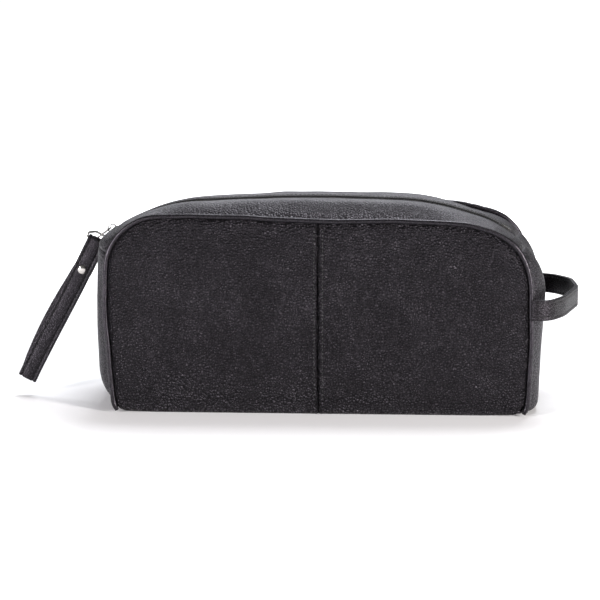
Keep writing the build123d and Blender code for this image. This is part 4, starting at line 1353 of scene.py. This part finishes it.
# ------------------------------------------------------------------ side handle
HL = [(130.0, -52.6, 0), (137.0, -54.4, 9), (147.0, -35.0, 60), (157.6, 4.0, 40), (155.6, 33.0, 24), (146.0, 51.0, 14), (137.0, 56.4, 8), (130.0, 54.2, 0)]
hl = smooth_line(rounded_line(HL, closed=False, step=0.8), 2, 9)
hl[:2] = [[128.6, -52.0], [129.5, -52.35]]
hl = resample(hl, 0.9)
t = np.gradient(hl, axis=0)
t /= np.linalg.norm(t, axis=1, keepdims=True)
right = np.stack([t[:, 1], -t[:, 0]], 1)
H_Z, H_W, H_T = 65.6, 12.4, 1.15
hs = np.r_[0, np.cumsum(np.linalg.norm(np.diff(hl, axis=0), axis=1))]
droop = -1.1 * np.sin(np.clip(hs / hs[-1], 0, 1) * math.pi) ** 2
handle_parts, rows = [], []
for layer, off, flip in (("outer", H_T * 1.5 + 0.03, 1), ("inner", H_T * 0.5, -1)):
    q = hl + right * off
    p3 = np.stack([q[:, 0], q[:, 1], np.full(len(q), H_Z)], 1)
    sec = strap_section(H_W / 2, H_T, rows=2.0, groove=0.14, crown=0.05)
    rings = sweep_rings(p3, (0, 0, 1), sec)
    probe = rings[40][10] - p3[40]
    want = np.array([right[40][0], right[40][1], 0]) * flip
    if probe @ want < 0:
        sec[:, 1] *= -1
        rings = sweep_rings(p3, (0, 0, 1), sec)
    rings[:, :, 2] += (0.25 * waves(hs, 0 * hs, 101, 40))[:, None]
    o = loop_shell(f"h_{layer}", rings, M_HANDLE)
    handle_parts.append((layer, o))
    for w in (-(H_W / 2 - 2.0), H_W / 2 - 2.0):
        for k in range(int((hs[-1] - 4) / 2.9)):
            a, b = 2.6 + k * 2.9, 2.6 + k * 2.9 + 2.1
            pts = [np.array([np.interp(v, hs, p3[:, c_]) for c_ in range(3)]) for v in (a, b)]
            up = np.array([np.interp(a, hs, right[:, 0]), np.interp(a, hs, right[:, 1]), 0]) * flip
            z = [0.25 * float(waves(np.array([v]), np.array([0.0]), 101, 40)[0]) for v in (a, b)]
            pts = [v + up * (H_T / 2 - 0.13) + np.array([0, 0, w + zz]) for v, zz in zip(pts, z)]
            rows.append((layer, pts[0], pts[1], up))
for layer, o in handle_parts:
    stc = capsules(f"h_{layer}_st", [r_[1:] for r_ in rows if r_[0] == layer], M_THREAD, 0.22)
    h = join(f"handle_{layer}_leather", [o, stc])
    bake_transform(h)
    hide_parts(f"side_handle_{layer}")

# ------------------------------------------------------------------ stitches of the centre seam
rows = []
for front in (-1, 1):
    for sign, off in ((-1, 2.2), (1, 2.9)):
        z = 114.5
        while z > 9.5:
            q = []
            for zz in (z, z - 1.75):
                d = min(118.1 - zz, 60.0)
                y = float(panel_y(np.array([sign * off]), np.array([zz]), np.array([d]), sign, 21 + (front > 0) * 5 + (sign > 0) * 2)[0])
                q.append([sign * off, front * (y - 0.02), zz])
            rows.append((q[0], q[1], (0, front, 0)))
            z -= 2.35
cs = capsules("centre_seam_stitches", rows, M_THREAD, 0.30)
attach(cs, "bag")

# ------------------------------------------------------------------ CAD pieces that keep their shape
for node, mat in (("base_board", M_BOARD), ("zip_bottom_stop", M_NICKEL)):
    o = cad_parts[node]
    o.data.materials.clear()
    o.data.materials.append(mat)

# ------------------------------------------------------------------ camera
az, el, dist = math.radians(3.0), math.radians(9.5), 1300.0
back = np.array([math.sin(az) * math.cos(el), -math.cos(az) * math.cos(el), math.sin(el)])
target = np.array([0.0, 0.0, 62.0])
cam_data = bpy.data.cameras.new("camera")
cam = bpy.data.objects.new("camera", cam_data)
bpy.context.scene.collection.objects.link(cam)
cam.location = Vector((target + back * dist) * MM)
cam.rotation_mode = "QUATERNION"
cam.rotation_quaternion = Vector(-back).to_track_quat("-Z", "Y")
F_PX, PPX, PPY = 2077.0, 322.5, 300.0
cam_data.sensor_width = 36.0
cam_data.lens = F_PX / 600 * 36.0
fwd = -back
rightv = np.cross(fwd, [0, 0, 1])
rightv /= np.linalg.norm(rightv)
upv = np.cross(rightv, fwd)
rel = np.array([0.0, -52.0, 0.0]) - (target + back * dist)
px = F_PX * (rel @ rightv) / (rel @ fwd)
py = -F_PX * (rel @ upv) / (rel @ fwd)
PPX, PPY = 318.0 - px, 415.0 - py
cam_data.shift_x = -(PPX - 300) / 600
cam_data.shift_y = (PPY - 300) / 600
cam_data.clip_start, cam_data.clip_end = 0.05, 80
bpy.context.scene.camera = cam

# ------------------------------------------------------------------ floor and light
floor_mat = bpy.data.materials.new("studio_floor")
floor_mat.use_nodes = True
ft = floor_mat.node_tree
fb = ft.nodes["Principled BSDF"]
fb.inputs["Roughness"].default_value = 0.9
fb.inputs["Specular IOR Level"].default_value = 0.15
fb.inputs["Base Color"].default_value = (0.9, 0.9, 0.905, 1)
fb.inputs["Emission Color"].default_value = (1, 1, 1, 1)
co = ft.nodes.new("ShaderNodeTexCoord")
ln = ft.nodes.new("ShaderNodeVectorMath")
ln.operation = "LENGTH"
ft.links.new(co.outputs["Object"], ln.inputs[0])
mr = ft.nodes.new("ShaderNodeMapRange")
mr.interpolation_type = "SMOOTHSTEP"
for k, v in (("From Min", 0.12), ("From Max", 0.9), ("To Min", 0.0), ("To Max", 0.95)):
    mr.inputs[k].default_value = v
ft.links.new(ln.outputs["Value"], mr.inputs["Value"])
ft.links.new(mr.outputs["Result"], fb.inputs["Emission Strength"])
a = np.linspace(0, 2 * math.pi, 64, endpoint=False)
fv, ff = [(0.0, 0.0, -0.0)], []
radii = [300, 900, 2500, 8000, 30000]
for r_ in radii:
    fv += [(r_ * math.cos(q), r_ * math.sin(q), 0.0) for q in a]
for k in range(64):
    ff.append((0, 1 + k, 1 + (k + 1) % 64))
for i in range(len(radii) - 1):
    for k in range(64):
        ff.append((1 + i * 64 + k, 1 + (i + 1) * 64 + k, 1 + (i + 1) * 64 + (k + 1) % 64, 1 + i * 64 + (k + 1) % 64))
floor = obj_from("studio_floor_sheet", fv, ff, floor_mat)

world = bpy.data.worlds.new("studio")
bpy.context.scene.world = world
world.use_nodes = True
world.node_tree.nodes["Background"].inputs["Color"].default_value = (1, 1, 1, 1)
world.node_tree.nodes["Background"].inputs["Strength"].default_value = 0.13


def softbox(name, loc, aim, w, h, power, color=(1, 1, 1)):
    d = bpy.data.lights.new(name, "AREA")
    d.shape = "RECTANGLE"
    d.size, d.size_y = w, h
    d.energy = power
    d.color = color
    o = bpy.data.objects.new(name, d)
    bpy.context.scene.collection.objects.link(o)
    o.location = loc
    o.rotation_mode = "QUATERNION"
    o.rotation_quaternion = (Vector(aim) - Vector(loc)).to_track_quat("-Z", "Y")
    return o


softbox("overhead", (0.13, 0.46, 1.14), (0, 0, 0.05), 0.60, 0.60, 15.5, (0.95, 0.965, 1.0))
softbox("left_box", (-0.86, -0.90, 0.30), (-0.05, 0, 0.07), 0.18, 0.34, 17.0, (1.0, 0.965, 0.985))
softbox("right_box", (0.92, -0.82, 0.30), (0.05, 0, 0.07), 0.18, 0.34, 24.0, (1.0, 0.96, 0.94))
softbox("back_box", (-0.25, 1.25, 0.56), (0, 0, 0.12), 1.3, 0.36, 4.5, (0.93, 0.94, 1.0))
bpy.context.scene.view_settings.view_transform = "Standard"
